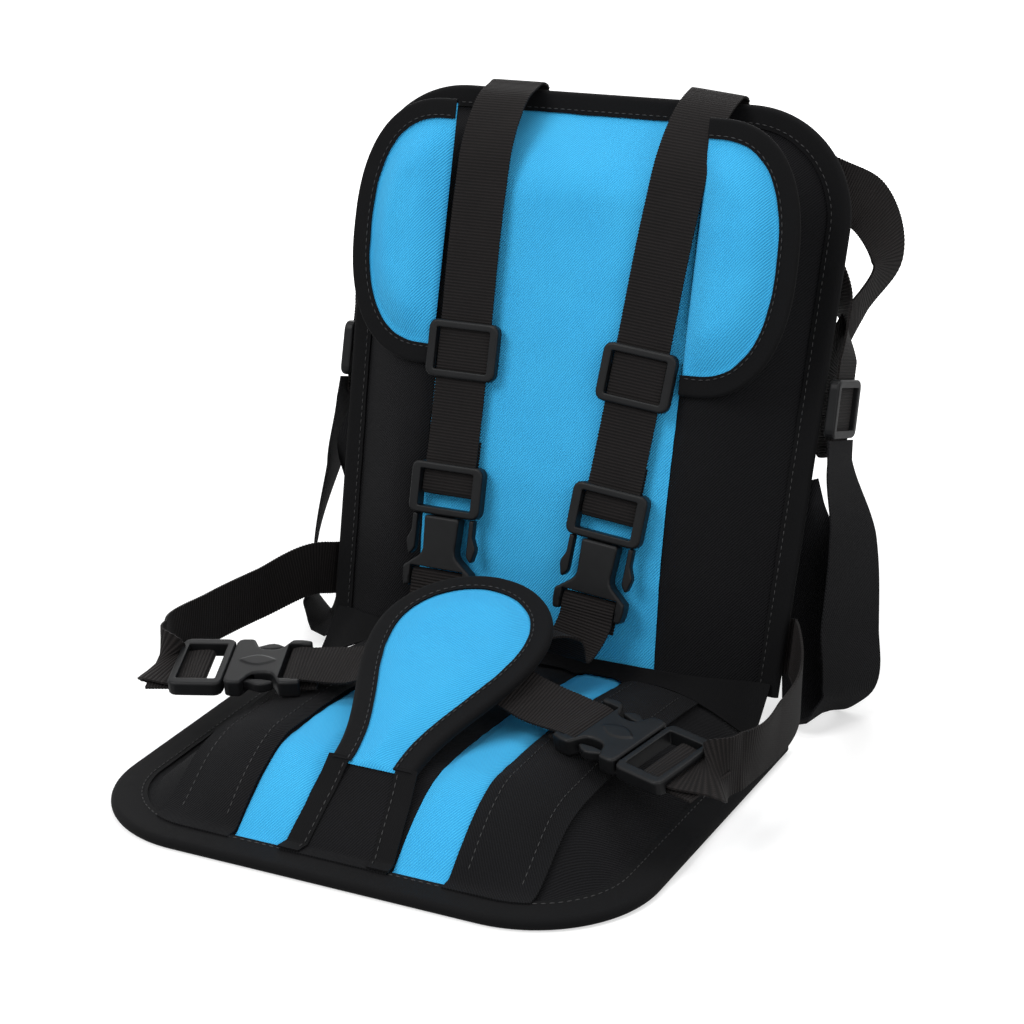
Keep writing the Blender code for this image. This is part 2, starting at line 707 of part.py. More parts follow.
def build_crotch_pad():
    """Patch on the seat's front, and the hinged pad: backing cloth, padded face and tape."""

    def patch(u, v):
        y = front_row(PAD_AT, 0.0, v)
        half = PATCH_REAR_HALF + (PATCH_FRONT_HALF - PATCH_REAR_HALF) * v
        return on_seat(half * (2 * u - 1), y)

    sheet("crotch_base", SEAT_FRAME, 4, 5, patch, BAND_CLOTH, BLACK)

    flat = PAD_TAPE + TAPE_CLEAR
    tip = PAD_HEAD_AT + 0.985 * (PAD_HEAD - EDGE_INSET)
    rows = ((0.0, 0.0), (6 / 11, PAD_HEAD_AT), (10 / 11, PAD_HEAD_AT + PAD_HEAD - flat), (1.0, tip))

    def place(u, v):
        s = between(rows, v)
        rim = pad_half(s, EDGE_INSET)
        tape_line = max(pad_half(s, flat), 0.4 * rim)
        return between(((0.0, -rim), (0.125, -tape_line), (0.875, tape_line), (1.0, rim)), u), s

    def high(x, s):
        if s <= PAD_HEAD_AT:
            inward = pad_half(s, flat) - abs(x)
        else:
            inward = PAD_HEAD - flat - math.hypot(x, s - PAD_HEAD_AT)
        return HEM_TOP + PAD_CROWN * ease(inward / PAD_ROLL)

    face_low = HEM_LOW + BASE_CLOTH + FIT
    pad("crotch_pad_back", PAD_FRAME, 2, 11, place, lambda x, y: HEM_LOW, lambda x, y: HEM_LOW + BASE_CLOTH, BLACK)
    pad("crotch_pad_face", PAD_FRAME, 8, 11, place, lambda x, y: face_low, high, BLUE)
    neck = [PAD_HEAD_AT * step / 8 for step in range(8)]
    right = [Vector((pad_half(s, 0.0), s)) for s in neck]
    for step in range(7):
        turn = math.pi / 2 * step / 6
        right.append(Vector((PAD_HEAD * math.cos(turn), PAD_HEAD_AT + PAD_HEAD * math.sin(turn))))
    route = [Vector((-p.x, p.y)) for p in right[:-1]] + list(reversed(right))
    binding("crotch_pad_binding", PAD_FRAME, route, PAD_TAPE, HEM_THICK, 0.0, TAPE)


def slider_mesh():
    """Ladder slider: two end bars over the webbing and a middle bar under it."""
    end = SLIDER_LENGTH / 2
    ring = plate(block_corners(SLIDER_HALF, -end, end, SLIDER_CORNER), SLIDER_LOW, SLIDER_HIGH, CHAMFER)
    window = box((-WINDOW_HALF, SLIDER_BAR - end, -CUT_REACH), (WINDOW_HALF, end - SLIDER_BAR, CUT_REACH))
    way = box((-WINDOW_HALF, -SLIDER_LENGTH, -CUT_REACH), (WINDOW_HALF, SLIDER_LENGTH, SLIDER_WEB_GAP))
    lap = WINDOW_HALF + JOIN_LAP
    middle = box((-lap, -SLIDER_MIDDLE / 2, SLIDER_LOW), (lap, SLIDER_MIDDLE / 2, -SLIDER_WEB_GAP))
    return carved("slider", ring, [window, way], [middle])


def insert_mesh():
    """Buckle insert: a frame with a bar for the webbing and a guide tongue."""
    deep = INSERT_THICK / 2
    ring = plate(block_corners(BUCKLE_HALF, -INSERT_LENGTH, 0.0, INSERT_CORNER), -deep, deep, CHAMFER)
    inner_bar = 2 * INSERT_BAR - INSERT_LENGTH
    window = box((-WINDOW_HALF, INSERT_BAR - INSERT_LENGTH, -CUT_REACH), (WINDOW_HALF, -INSERT_BAR, CUT_REACH))
    way = box((-WINDOW_HALF, -2 * INSERT_LENGTH, -CUT_REACH), (WINDOW_HALF, inner_bar, WEB_ROOF))
    lap = WINDOW_HALF + JOIN_LAP
    cross = box((-lap, CROSS_BAR_AT - CROSS_BAR / 2, CROSS_BAR_LOW),
                (lap, CROSS_BAR_AT + CROSS_BAR / 2, CROSS_BAR_HIGH))
    tongue = plate(block_corners(TONGUE_HALF, -INSERT_BAR / 2, TONGUE_LENGTH, TONGUE_CORNER),
                   -TONGUE_THICK / 2, TONGUE_THICK / 2)
    return carved("insert", ring, [window, way], [cross, tongue])


def socket_mesh(kind):
    """Buckle socket: a body with hooked legs and a bar for the webbing at its end.

    The shoulder kind has a slim neck between the open prongs; the waist kind has a full-width mouth.
    """
    deep = SOCKET_THICK / 2
    end = SOCKET_START + SOCKET_LENGTH
    bar_end = end - SOCKET_LEG
    slot_end = bar_end - SOCKET_BAR
    slot_start = slot_end - SOCKET_SLOT
    tip = SOCKET_LEG_TIP
    legs = [(SOCKET_HALF, slot_start + JOIN_LAP, SOCKET_FLARE_CORNER), (SOCKET_HALF, bar_end, SOCKET_BAR),
            (tip, end, 1.5 * CHAMFER), (WINDOW_HALF, end, 1.3 * CHAMFER), (WINDOW_HALF, bar_end, CHAMFER)]
    if kind == "shoulder":
        sides = [(SOCKET_NECK + JOIN_LAP, SOCKET_START, TONGUE_CORNER),
                 (SOCKET_NECK, slot_start - SOCKET_FLARE_LENGTH, SOCKET_FLARE_RADIUS)]
    else:
        sides = [(SOCKET_HALF, SOCKET_START, MOUTH_COLLAR_CORNER),
                 (SOCKET_HALF, SOCKET_START + MOUTH_COLLAR, 2 * CHAMFER),
                 (SOCKET_WAIST, SOCKET_START + WAIST_HOLLOW_START, WAIST_HOLLOW_RADIUS),
                 (SOCKET_WAIST, slot_start - WAIST_HOLLOW_LEFT, WAIST_HOLLOW_RADIUS)]
    body = plate(mirrored(sides + legs), -deep, deep, CHAMFER, steps=2)
    guide = TONGUE_HALF + TONGUE_CLEAR
    guide_high = TONGUE_THICK / 2 + TONGUE_CLEAR
    web_high = SOCKET_BAR_THICK / 2
    cuts = [box((-guide, -CUT_REACH, -guide_high), (guide, TONGUE_LENGTH + TONGUE_END_CLEAR, guide_high)),
            box((-WINDOW_HALF, slot_start, -CUT_REACH), (WINDOW_HALF, slot_end, CUT_REACH)),
            box((-WINDOW_HALF, slot_start, web_high), (WINDOW_HALF, 2 * end, CUT_REACH)),
            box((-WINDOW_HALF, slot_start, -CUT_REACH), (WINDOW_HALF, 2 * end, -web_high))]
    if kind == "shoulder":
        return carved(kind + "_socket", body, cuts, [])
    mouth = SOCKET_HALF - MOUTH_WALL
    cuts.append(box((-mouth, -CUT_REACH, -MOUTH_HIGH / 2), (mouth, MOUTH_DEPTH, MOUTH_HIGH / 2)))
    lens_low = LENS_AT - LENS_HALF_LENGTH
    lens_high = LENS_AT + LENS_HALF_LENGTH
    lens = plate([(LENS_HALF, LENS_AT, LENS_HALF_LENGTH), (0.0, lens_high, JOIN_LAP),
                  (-LENS_HALF, LENS_AT, LENS_HALF_LENGTH), (0.0, lens_low, JOIN_LAP)],
                 deep - JOIN_LAP, deep + LENS_RISE)
    return carved(kind + "_socket", body, cuts, [lens])


def prong_mesh(kind, side):
    """Flexing arm beside the tongue with a leaf-shaped thumb pad, about its root."""
    arm = PRONG_ARM / 2
    if kind == "shoulder":
        straight = SHOULDER_PRONG_STRAIGHT
        corners = [(arm, straight, PRONG_ARM), (arm + SHOULDER_PAD_OUT, SHOULDER_PAD_AT, 0.004),
                   (arm + 0.0005, SHOULDER_PRONG_LENGTH, 0.0010), (-arm, SHOULDER_PRONG_INNER, 0.004),
                   (-arm, straight, PRONG_ARM)]
    else:
        straight = WAIST_PRONG_STRAIGHT
        corners = [(arm, straight, 0.002), (arm + WAIST_PAD_OUT, WAIST_PAD_AT, 0.006),
                   (arm - 0.0008, WAIST_PRONG_LENGTH, 0.0010), (0.0004 - arm, WAIST_PAD_AT, 0.006),
                   (-arm, straight, 0.002)]
    corners = [(-arm, 0.0, 0.0008), (arm, 0.0, 0.0008)] + corners
    corners = [(side * x, y, radius) for x, y, radius in corners]
    return plate(corners, -PRONG_THICK / 2, PRONG_THICK / 2, PRONG_CHAMFER, steps=2)


def buckle(prefix, tag, kind, at, meshes):
    """Insert, two prongs and socket of one buckle on its frame."""
    part(prefix + "_insert_" + tag, meshes["insert"], at, PLASTIC)
    part(prefix + "_socket_" + tag, meshes[kind + "_socket"], at, PLASTIC)
    root = SHOULDER_PRONG_X if kind == "shoulder" else WAIST_PRONG_X
    for letter, side in (("a", 1), ("b", -1)):
        root_at = (side * root, PRONG_ROOT, 0.0)
        part(prefix + "_prong_" + letter + "_" + tag, meshes[kind + letter], at, PLASTIC, root_at)


def wrap_insert():
    """Webbing round the insert's cross bar as (y, z), from its rear tail to where it leaves the frame."""
    over = CROSS_BAR_HIGH + WEB_CLOTH / 2 + FIT + WRAP_CLEAR
    under = CROSS_BAR_LOW - WEB_CLOTH / 2 - FIT - WRAP_CLEAR
    lip = CROSS_BAR_AT + CROSS_BAR / 2
    bend = (over - under) / 2
    middle = (over + under) / 2
    turn = [(lip - 0.001 + 1.3 * bend * math.cos(angle), middle + bend * math.sin(angle))
            for angle in (-math.pi / 2, -math.pi / 4, 0.0, math.pi / 4, math.pi / 2)]
    return [(-0.044, under - 0.0002), (-0.030, under), *turn, (CROSS_BAR_AT - CROSS_BAR / 2, over),
            (-INSERT_LENGTH, WEB_ROOF - 0.0020)]


def wrap_socket():
    """Webbing round the socket's end bar as (y, z), from its rear tail to where it leaves the legs."""
    end = SOCKET_START + SOCKET_LENGTH
    slot_middle = end - SOCKET_LEG - SOCKET_BAR - SOCKET_SLOT / 2
    level = SOCKET_BAR_THICK / 2 + WEB_CLOTH / 2 + FIT + WRAP_CLEAR
    bar = end - SOCKET_LEG - SOCKET_BAR / 2
    return [(end + 0.008, -level), (bar, -level), (slot_middle + 0.0003, -level * 0.55),
            (slot_middle + 0.0003, level * 0.55), (bar, level), (end + 0.002, level)]


def stations_at(matrix, wrap, turn=1.0):
    """Stations of a buckle wrap, carried by the buckle's matrix."""
    side = matrix.to_3x3() @ Vector((turn, 0.0, 0.0))
    return [(matrix @ Vector((0.0, y, z)), side) for y, z in wrap]


def build_shoulder_harness(meshes):
    """Shoulder straps, sliders, buckles and the links from the sockets to the back of the crotch pad."""
    layout = (("l", -1, LEFT_STRAP_X, 0.0, LEFT_SLIDER_UP),
              ("r", 1, RIGHT_STRAP_X, RIGHT_STRAP_SLANT, RIGHT_SLIDER_UP))
    for tag, side, strap_x, slant, slider_up in layout:
        strap_at = Matrix.Translation((strap_x, BUCKLE_UP, 0.0)) @ Matrix.Rotation(slant, 4, "Z")
        buckle_at = Matrix.Translation((0.0, 0.0, BUCKLE_LEVEL)) @ HALF_TURN
        strap_frame = frame("shoulder_strap_frame_" + tag, strap_at, BACK_FRAME)
        buckle_frame = frame("shoulder_buckle_frame_" + tag, buckle_at, strap_frame)
        buckle("shoulder", tag, "shoulder", buckle_frame, meshes)
        part("shoulder_slider_" + tag, meshes["slider"], strap_frame, PLASTIC, (0.0, slider_up, STRAP_LEVEL))
        build_shoulder_strap("shoulder_strap_" + tag, strap_frame, slant)
        build_shoulder_link("shoulder_link_" + tag, side, BACK_AT @ strap_at @ buckle_at)


def build_shoulder_strap(name, strap_frame, slant):
    """Strap from its seam on the rear cloth, over the backrest's top edge and down to the insert."""
    across = Vector((1.0, 0.0, 0.0))
    top = (BACK_LENGTH - BUCKLE_UP) / math.cos(slant)
    rear = -BACK_DEPTH - WEB_CLOTH / 2 - 2 * FIT
    hem_front = BACK.level + HEM_THICK
    crest = top + 0.0035 + WEB_WIDTH / 2 * math.tan(abs(slant))
    over = [(top - 0.055, rear), (top - 0.025, rear), (top - 0.003, rear - 0.0005), (crest - 0.0010, rear + 0.0006),
            (crest, rear + 0.0045), (crest, hem_front + 0.001), (crest - 0.003, hem_front + 0.007),
            (top - 0.006, hem_front + 0.0175), (top - 0.021, hem_front + 0.028), (top - 0.037, STRAP_LEVEL - 0.0022),
            (top - 0.060, STRAP_LEVEL), (0.100, STRAP_LEVEL), (0.050, STRAP_LEVEL)]
    route = [(Vector((0.0, y, z)), across) for y, z in over]
    wrap = [(Vector((0.0, -y, BUCKLE_LEVEL + z)), across) for y, z in reversed(wrap_insert())]
    ribbon(name, strap_frame, route + wrap, WEB_WIDTH, WEB_CLOTH, WEBBING)


def build_shoulder_link(name, side, buckle_at):
    """Link from the shoulder socket's bar down to the back of the crotch pad."""
    wrap = stations_at(buckle_at, wrap_socket())
    leave = wrap[-1][0]
    across = wrap[-1][1]
    level = -WEB_CLOTH / 2 - FIT - WRAP_CLEAR
    turn = PAD_FRAME_AT.to_3x3()
    pad_side_way = turn @ Vector((-0.95, side * 0.30, 0.0))
    sag = leave + Vector((-side * 0.004, -0.022, -0.014))
    near_pad = PAD_FRAME_AT @ Vector((side * 0.037, 0.142, level - 0.016))
    under = PAD_FRAME_AT @ Vector((side * 0.030, 0.130, level - 0.004))
    end = PAD_FRAME_AT @ Vector((side * 0.024, 0.112, level))
    mid_side = across.lerp(pad_side_way, 0.5)
    ribbon(name, WORLD_FRAME, wrap + [(sag, across), (near_pad, mid_side), (under, pad_side_way), (end, pad_side_way)],
           WEB_WIDTH, WEB_CLOTH, WEBBING)


def mirror(stations):
    """The same stations on the object's other side."""
    flip = Matrix.Diagonal((-1.0, 1.0, 1.0))
    return [(flip @ centre, flip @ side) for centre, side in stations]


def waist_matrix(side):
    """Frame of a waist buckle on the side given by its sign."""
    flip = Matrix.Diagonal((side, 1.0, 1.0))
    along = (flip @ WAIST_ALONG).normalized()
    across = along.cross(flip @ WAIST_FACE).normalized()
    face = across.cross(along)
    matrix = Matrix((across, along, face)).transposed().to_4x4()
    matrix.translation = PAD_FRAME_AT.translation + flip @ WAIST_FROM_PAD
    return matrix


def build_waist_harness(meshes):
    """Waist buckles, their straps from behind the backrest's edges and their links to the crotch pad."""
    right_at = waist_matrix(1)
    insert_wrap = stations_at(right_at, wrap_insert())
    up = Vector((0.0, 0.0, 1.0))
    flat = insert_wrap[-1][1]
    leave = insert_wrap[-1][0]
    up_back = BACK_AT.to_3x3() @ Vector((0.0, 1.0, 0.0))
    rear = -BACK_DEPTH - WEB_CLOTH / 2 - 2 * FIT
    rim = BACK.edge(0.031)
    strap = insert_wrap + [
        (leave + Vector((0.0095, 0.0010, 0.0010)), flat.lerp(up, 0.12)),
        (leave + Vector((0.0200, 0.0200, 0.0010)), flat.lerp(up, 0.5)),
        (Vector((SEAT_FRONT_HALF + 0.0225, FOLD_Y - 0.07075, 0.0460)), up),
        (Vector((SEAT_FRONT_HALF + 0.0170, FOLD_Y - 0.02075, 0.0460)), up),
        (BACK_AT @ Vector((rim + 0.0080, 0.0310, -0.0120)), up_back),
        (BACK_AT @ Vector((rim + 0.0042, 0.0310, rear + 0.0045)), up_back),
        (BACK_AT @ Vector((rim + 0.0028, 0.0310, rear + 0.0004)), up_back),
        (BACK_AT @ Vector((rim - 0.0030, 0.0310, rear - 0.0004)), up_back),
        (BACK_AT @ Vector((rim - 0.0220, 0.0310, rear)), up_back)]
    level = -WEB_CLOTH / 2 - FIT - WRAP_CLEAR
    along_pad = PAD_FRAME_AT.to_3x3() @ Vector((0.0, 1.0, 0.0))
    socket_wrap = stations_at(right_at, wrap_socket())
    link = socket_wrap + [
        (PAD_FRAME_AT @ Vector((0.0530, 0.0790, level - 0.0060)), socket_wrap[-1][1].lerp(along_pad, 0.8)),
        (PAD_FRAME_AT @ Vector((0.0380, 0.0810, level - 0.0010)), along_pad),
        (PAD_FRAME_AT @ Vector((0.0120, 0.0820, level)), along_pad)]
    for tag, side in SIDES:
        at = frame("waist_buckle_frame_" + tag, waist_matrix(side))
        buckle("waist", tag, "waist", at, meshes)
        ribbon("waist_strap_" + tag, WORLD_FRAME, strap if side > 0 else mirror(strap), WEB_WIDTH, WEB_CLOTH, WEBBING)
        ribbon("waist_link_" + tag, WORLD_FRAME, link if side > 0 else mirror(link), WEB_WIDTH, WEB_CLOTH, WEBBING)


def build_rear_harness(meshes):
    """Loose fixing strap behind each edge of the backrest, with its slider and the broad band below it."""
    rear = -BACK_DEPTH - WEB_CLOTH / 2 - FIT
    rim = BACK_TOP_HALF
    x = rim - REAR_SLIDER_INSIDE
    v = REAR_SLIDER_UP
    o = -BACK_DEPTH - REAR_SLIDER_BEHIND
    half = SLIDER_LENGTH / 2
    depth = Vector((0.0, 0.0, -1.0))
    strap = [
        (Vector((rim - 0.0425, 0.2680, rear)), Vector((-0.79, -0.61, 0.0))),
        (Vector((rim - 0.0305, 0.2520, rear - 0.0005)), Vector((-0.79, -0.61, 0.0))),
        (Vector((rim - 0.0180, 0.2365, -0.0350)), Vector((-0.65, -0.50, -0.40))),
        (Vector((rim - 0.0075, 0.2200, -0.0425)), Vector((-0.40, -0.30, -0.85))),
        (Vector((x, v + half + 0.010, o)), depth),
        (Vector((x, v + half + 0.004, o)), depth),
        (Vector((x, v - half, o)), depth),
        (Vector((x, v - half - 0.003, o)), depth),
        (Vector((x - 0.0012, v - half - 0.0095, o)), depth),
        (Vector((x - 0.0050, v - half - 0.0105, o)), depth),
        (Vector((x - 0.0075, v - half, o)), depth),
        (Vector((x - 0.0090, v + half + 0.014, o - 0.004)), depth),
        (Vector((rim - 0.0045, 0.2240, -0.0700)), depth),
        (Vector((rim + 0.0055, 0.2480, -0.0760)), Vector((0.25, 0.20, -0.95))),
        (Vector((rim - 0.0025, 0.2770, -0.0560)), Vector((0.50, 0.60, -0.60))),
        (Vector((rim - 0.0195, 0.2860, -0.0310)), Vector((0.50, 0.86, -0.10))),
        (Vector((rim - 0.0355, 0.2915, rear - 0.0005)), Vector((0.40, 0.91, 0.0))),
        (Vector((rim - 0.0445, 0.2945, rear)), Vector((0.40, 0.91, 0.0)))]
    sewn = x + WEB_CLOTH / 2 + FIT + BAND_CLOTH / 2
    level_side = Vector((0.45, 0.227, -0.89))
    on_rear = -BACK_DEPTH - BAND_CLOTH / 2 - FIT
    band = [
        (Vector((sewn, v - half - 0.001, o)), depth),
        (Vector((sewn + 0.001, v - half - 0.013, o)), depth),
        (Vector((rim + 0.0135, 0.0950, -0.0470)), Vector((0.30, 0.0, -0.95))),
        (Vector((rim + 0.0195, 0.0450, -0.0430)), Vector((0.45, 0.10, -0.89))),
        (Vector((rim + 0.0195, 0.0030, -0.0470)), level_side),
        (Vector((rim + 0.0075, -0.0085, -0.0470)), level_side),
        (Vector((rim - 0.0005, 0.0200, -0.0530)), Vector((0.60, 0.20, -0.77))),
        (Vector((rim - 0.0095, 0.0700, -0.0460)), Vector((0.85, 0.20, -0.50))),
        (Vector((rim - 0.0205, 0.1050, on_rear)), Vector((0.95, 0.30, 0.0))),
        (Vector((rim - 0.0255, 0.1180, on_rear)), Vector((0.95, 0.30, 0.0)))]
    for tag, side in SIDES:
        facing = Matrix.Translation((side * x, v, o)) @ Matrix.Rotation(side * math.pi / 2, 4, "Y")
        slider_frame = frame("rear_slider_frame_" + tag, facing, BACK_FRAME)
        part("rear_slider_" + tag, meshes["slider"], slider_frame, PLASTIC)
        ribbon("rear_strap_" + tag, BACK_FRAME, strap if side > 0 else mirror(strap), WEB_WIDTH, WEB_CLOTH, WEBBING)
        ribbon("rear_band_" + tag, BACK_FRAME, band if side > 0 else mirror(band), REAR_BAND_WIDTH, BAND_CLOTH, BLACK)


build_seat()
build_fold()
build_backrest()
build_wings()
build_crotch_pad()
MESHES = {"slider": slider_mesh(), "insert": insert_mesh()}
for socket_kind in ("shoulder", "waist"):
    MESHES[socket_kind + "_socket"] = socket_mesh(socket_kind)
    MESHES[socket_kind + "a"] = prong_mesh(socket_kind, 1)
    MESHES[socket_kind + "b"] = prong_mesh(socket_kind, -1)
build_shoulder_harness(MESHES)
build_waist_harness(MESHES)
build_rear_harness(MESHES)
bpy.context.view_layer.update()
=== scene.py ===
# %% [markdown]
# # A folding fabric child seat
# The real object is a padded seat and a padded backrest sewn together at a fold, with two head wings,
# a crotch pad and a five-point harness of black webbing and moulded buckles. The imported CAD model is
# the fixed frame: every piece made here sits where its CAD piece sits. The padded pieces, stitches, mouldings
# and fixing straps move with their body; the fold pieces and the harness webbing are attached to none.

# %% Load the frame
import math

import bpy
import numpy as np
from mathutils import Matrix, Vector, noise


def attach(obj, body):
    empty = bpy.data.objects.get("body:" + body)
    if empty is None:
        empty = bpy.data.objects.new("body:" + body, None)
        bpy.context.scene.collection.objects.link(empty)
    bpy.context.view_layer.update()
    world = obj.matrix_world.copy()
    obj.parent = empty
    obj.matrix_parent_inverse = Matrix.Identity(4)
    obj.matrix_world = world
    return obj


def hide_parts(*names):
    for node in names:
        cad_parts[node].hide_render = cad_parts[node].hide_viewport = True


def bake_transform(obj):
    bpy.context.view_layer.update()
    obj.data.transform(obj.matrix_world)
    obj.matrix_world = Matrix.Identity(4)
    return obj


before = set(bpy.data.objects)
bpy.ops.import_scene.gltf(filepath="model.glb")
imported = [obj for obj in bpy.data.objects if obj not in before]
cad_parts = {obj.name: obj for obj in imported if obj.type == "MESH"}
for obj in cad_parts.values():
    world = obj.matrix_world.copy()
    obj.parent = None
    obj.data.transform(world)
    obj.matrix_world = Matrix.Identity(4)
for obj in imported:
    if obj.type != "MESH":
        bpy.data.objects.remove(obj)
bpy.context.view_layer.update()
bpy.ops.object.select_all(action="DESELECT")

# %% [markdown]
# ## Camera
# The photograph is taken from the seat's front right, a little above it. The lens and the place were
# found by fitting straight seams of the object, so the camera is set by numbers and never by eye.

# %% Camera
CAMERA_AT = Vector((0.49477, -0.93376, 0.52060))
CAMERA_LOOKS = Vector((-0.40890, 0.85159, -0.32801))
SENSOR = 36.0
LENS_PIXELS = 2200.0
PHOTO_PIXELS = 1024.0
camera_data = bpy.data.cameras.new("camera")
camera_data.sensor_width = SENSOR
camera_data.lens = LENS_PIXELS / PHOTO_PIXELS * SENSOR
camera = bpy.data.objects.new("camera", camera_data)
bpy.context.scene.collection.objects.link(camera)
camera.location = CAMERA_AT
camera.rotation_euler = CAMERA_LOOKS.to_track_quat("-Z", "Y").to_euler()
bpy.context.scene.camera = camera
print("lens", round(camera_data.lens, 2), "mm")

# %% [markdown]
# ## Shader maths
# A weave is a formula of the cloth's own coordinates. Writing the formula as Python sums keeps it
# readable: one small class wraps a socket, and each operator adds one Math node.


# %% Shader maths
class Wire:
    """One socket of a material, usable in sums."""

    def __init__(self, finish, socket):
        self.finish = finish
        self.socket = socket

    def math(self, operation, first, second=0.0):
        return self.finish.node("ShaderNodeMath", {"operation": operation}, {0: first, 1: second})

    def __add__(self, other):
        return self.math("ADD", self, other)

    def __sub__(self, other):
        return self.math("SUBTRACT", self, other)

    def __rsub__(self, other):
        return self.math("SUBTRACT", other, self)

    def __mul__(self, other):
        return self.math("MULTIPLY", self, other)

    __radd__ = __add__
    __rmul__ = __mul__

    def wave(self):
        """Cosine of a number of turns, from 0 to 1."""
        return self.math("COSINE", self * (2 * math.pi)) * 0.5 + 0.5

    def floor(self):
        return self.math("FLOOR", self)


class Finish:
    """A material being put together."""

    def __init__(self, name, roughness):
        self.material = bpy.data.materials.new(name)
        self.material.use_nodes = True
        self.tree = self.material.node_tree
        self.surface = self.tree.nodes["Principled BSDF"]
        self.surface.inputs["Roughness"].default_value = roughness

    def node(self, kind, settings, values, output=0):
        """Any node: its settings first, then the values or links of its sockets."""
        made = self.tree.nodes.new(kind)
        for key, value in settings.items():
            setattr(made, key, value)
        for key, value in values.items():
            if isinstance(value, Wire):
                self.tree.links.new(value.socket, made.inputs[key])
            else:
                made.inputs[key].default_value = value
        return Wire(self, made.outputs[output])

    def feed(self, socket, value):
        if isinstance(value, Wire):
            self.tree.links.new(value.socket, self.surface.inputs[socket])
        else:
            self.surface.inputs[socket].default_value = value

    def coordinates(self, output="UV"):
        """Coordinates as three wires and as one vector."""
        spot = self.node("ShaderNodeTexCoord", {}, {}, output)
        made = self.tree.nodes.new("ShaderNodeSeparateXYZ")
        self.tree.links.new(spot.socket, made.inputs[0])
        return [Wire(self, socket) for socket in made.outputs], spot

    def speckle(self, spot, scale, detail=2.0):
        return self.node("ShaderNodeTexNoise", {}, {"Vector": spot, "Scale": scale, "Detail": detail})

    def blend(self, amount, dark, light):
        return self.node("ShaderNodeMix", {"data_type": "RGBA"}, {0: amount, 6: (*dark, 1.0), 7: (*light, 1.0)}, 2)

    def relief(self, height, distance, strength):
        bump = self.node("ShaderNodeBump", {}, {"Height": height, "Distance": distance, "Strength": strength})
        self.feed("Normal", bump)


print("shader helpers ready")

# %% [markdown]
# ## Finishes
# The cloth is a coarse twill: slanting ridges of short floats. Its coordinates are the cloth's own UV map in
# metres, so one formula has the same scale on every panel. The webbing has heavy ribs across its width, the
# hem tape is a fine plain weave, and the mouldings are satin black plastic.

# %% Finishes
MM = 0.001
TWILL_PITCH = 1.55 * MM
FLOAT_PITCH = 2.1 * MM
RIB_PITCH = 1.75 * MM


def twill(name, dark, light, roughness, sheen):
    """Woven cloth with slanting ridges; its colour is darker in the grooves between them, as painted shade, with some
    random cloudy tone.
    """
    finish = Finish(name, roughness)
    (u, v, _), spot = finish.coordinates()
    wobble = finish.speckle(spot, 260.0) * 0.35
    slant = (u - v * 0.8) * (1 / TWILL_PITCH) + wobble
    along = (u * 0.8 + v) * (1 / FLOAT_PITCH) + slant.floor() * 0.5 + wobble
    ridge = slant.wave() * (0.62 + 0.38 * along.wave())
    cloudy = finish.speckle(spot, 22.0, 3.0)
    # Colour: 72% painted shade, darker in the grooves than on the ridges, and 28% random cloudy tone.
    finish.feed("Base Color", finish.blend(ridge * 0.72 + cloudy * 0.28, dark, light))
    finish.feed("Roughness", roughness + 0.1 * ridge)
    finish.feed("Sheen Weight", sheen)
    finish.feed("Sheen Roughness", 0.5)
    finish.feed("Specular IOR Level", 0.12)
    finish.relief(ridge, 0.45 * MM, 0.8)
    return finish.material


def tape_weave(name, dark, light, pitch):
    """Fine plain weave of a folded tape; its colour is darker where the weave lies low, as painted shade, with some
    random cloudy tone.
    """
    finish = Finish(name, 0.8)
    (u, v, _), spot = finish.coordinates()
    across = (u * (1 / pitch)).wave()
    along = (v * (1 / pitch)).wave()
    checks = across * (1 - along) + along * (1 - across)
    cloudy = finish.speckle(spot, 40.0, 3.0)
    # Colour: 70% painted shade, darker where the weave lies low, and 30% random cloudy tone.
    finish.feed("Base Color", finish.blend(checks * 0.7 + cloudy * 0.3, dark, light))
    finish.feed("Specular IOR Level", 0.1)
    finish.feed("Sheen Weight", 0.015)
    finish.relief(checks, 0.2 * MM, 0.4)
    return finish.material


def ribbed(name, dark, light):
    """Webbing with ribs across its width, each a row of short floats; its colour is darker between the ribs, as
    painted shade, with some random cloudy tone.
    """
    finish = Finish(name, 0.78)
    (u, v, _), spot = finish.coordinates()
    rib = v * (1 / RIB_PITCH)
    row = rib.floor()
    yarn = (u * (1 / (1.3 * MM)) + row * 0.5).wave()
    high = rib.wave() * (0.7 + 0.3 * yarn)
    cloudy = finish.speckle(spot, 55.0, 3.0)
    # Colour: 75% painted shade, darker between the ribs than on them, and 25% random cloudy tone.
    finish.feed("Base Color", finish.blend(high * 0.75 + cloudy * 0.25, dark, light))
    finish.feed("Specular IOR Level", 0.15)
    finish.feed("Sheen Weight", 0.02)
    finish.relief(high, 0.55 * MM, 0.9)
    return finish.material


def moulded(name, dark, light):
    """Satin plastic with a fine spark-eroded grain."""
    finish = Finish(name, 0.4)
    _, spot = finish.coordinates("Object")
    grain = finish.speckle(spot, 2600.0, 1.0)
    cloudy = finish.speckle(spot, 90.0, 2.0)
    finish.feed("Base Color", finish.blend(cloudy, dark, light))
    finish.feed("Roughness", 0.36 + 0.14 * cloudy)
    finish.feed("Specular IOR Level", 0.16)
    finish.relief(grain, 0.04 * MM, 0.35)
    return finish.material


def spun(name, dark, light):
    """Sewing thread."""
    finish = Finish(name, 0.6)
    _, spot = finish.coordinates("Object")
    finish.feed("Base Color", finish.blend(finish.speckle(spot, 900.0), dark, light))
    return finish.material


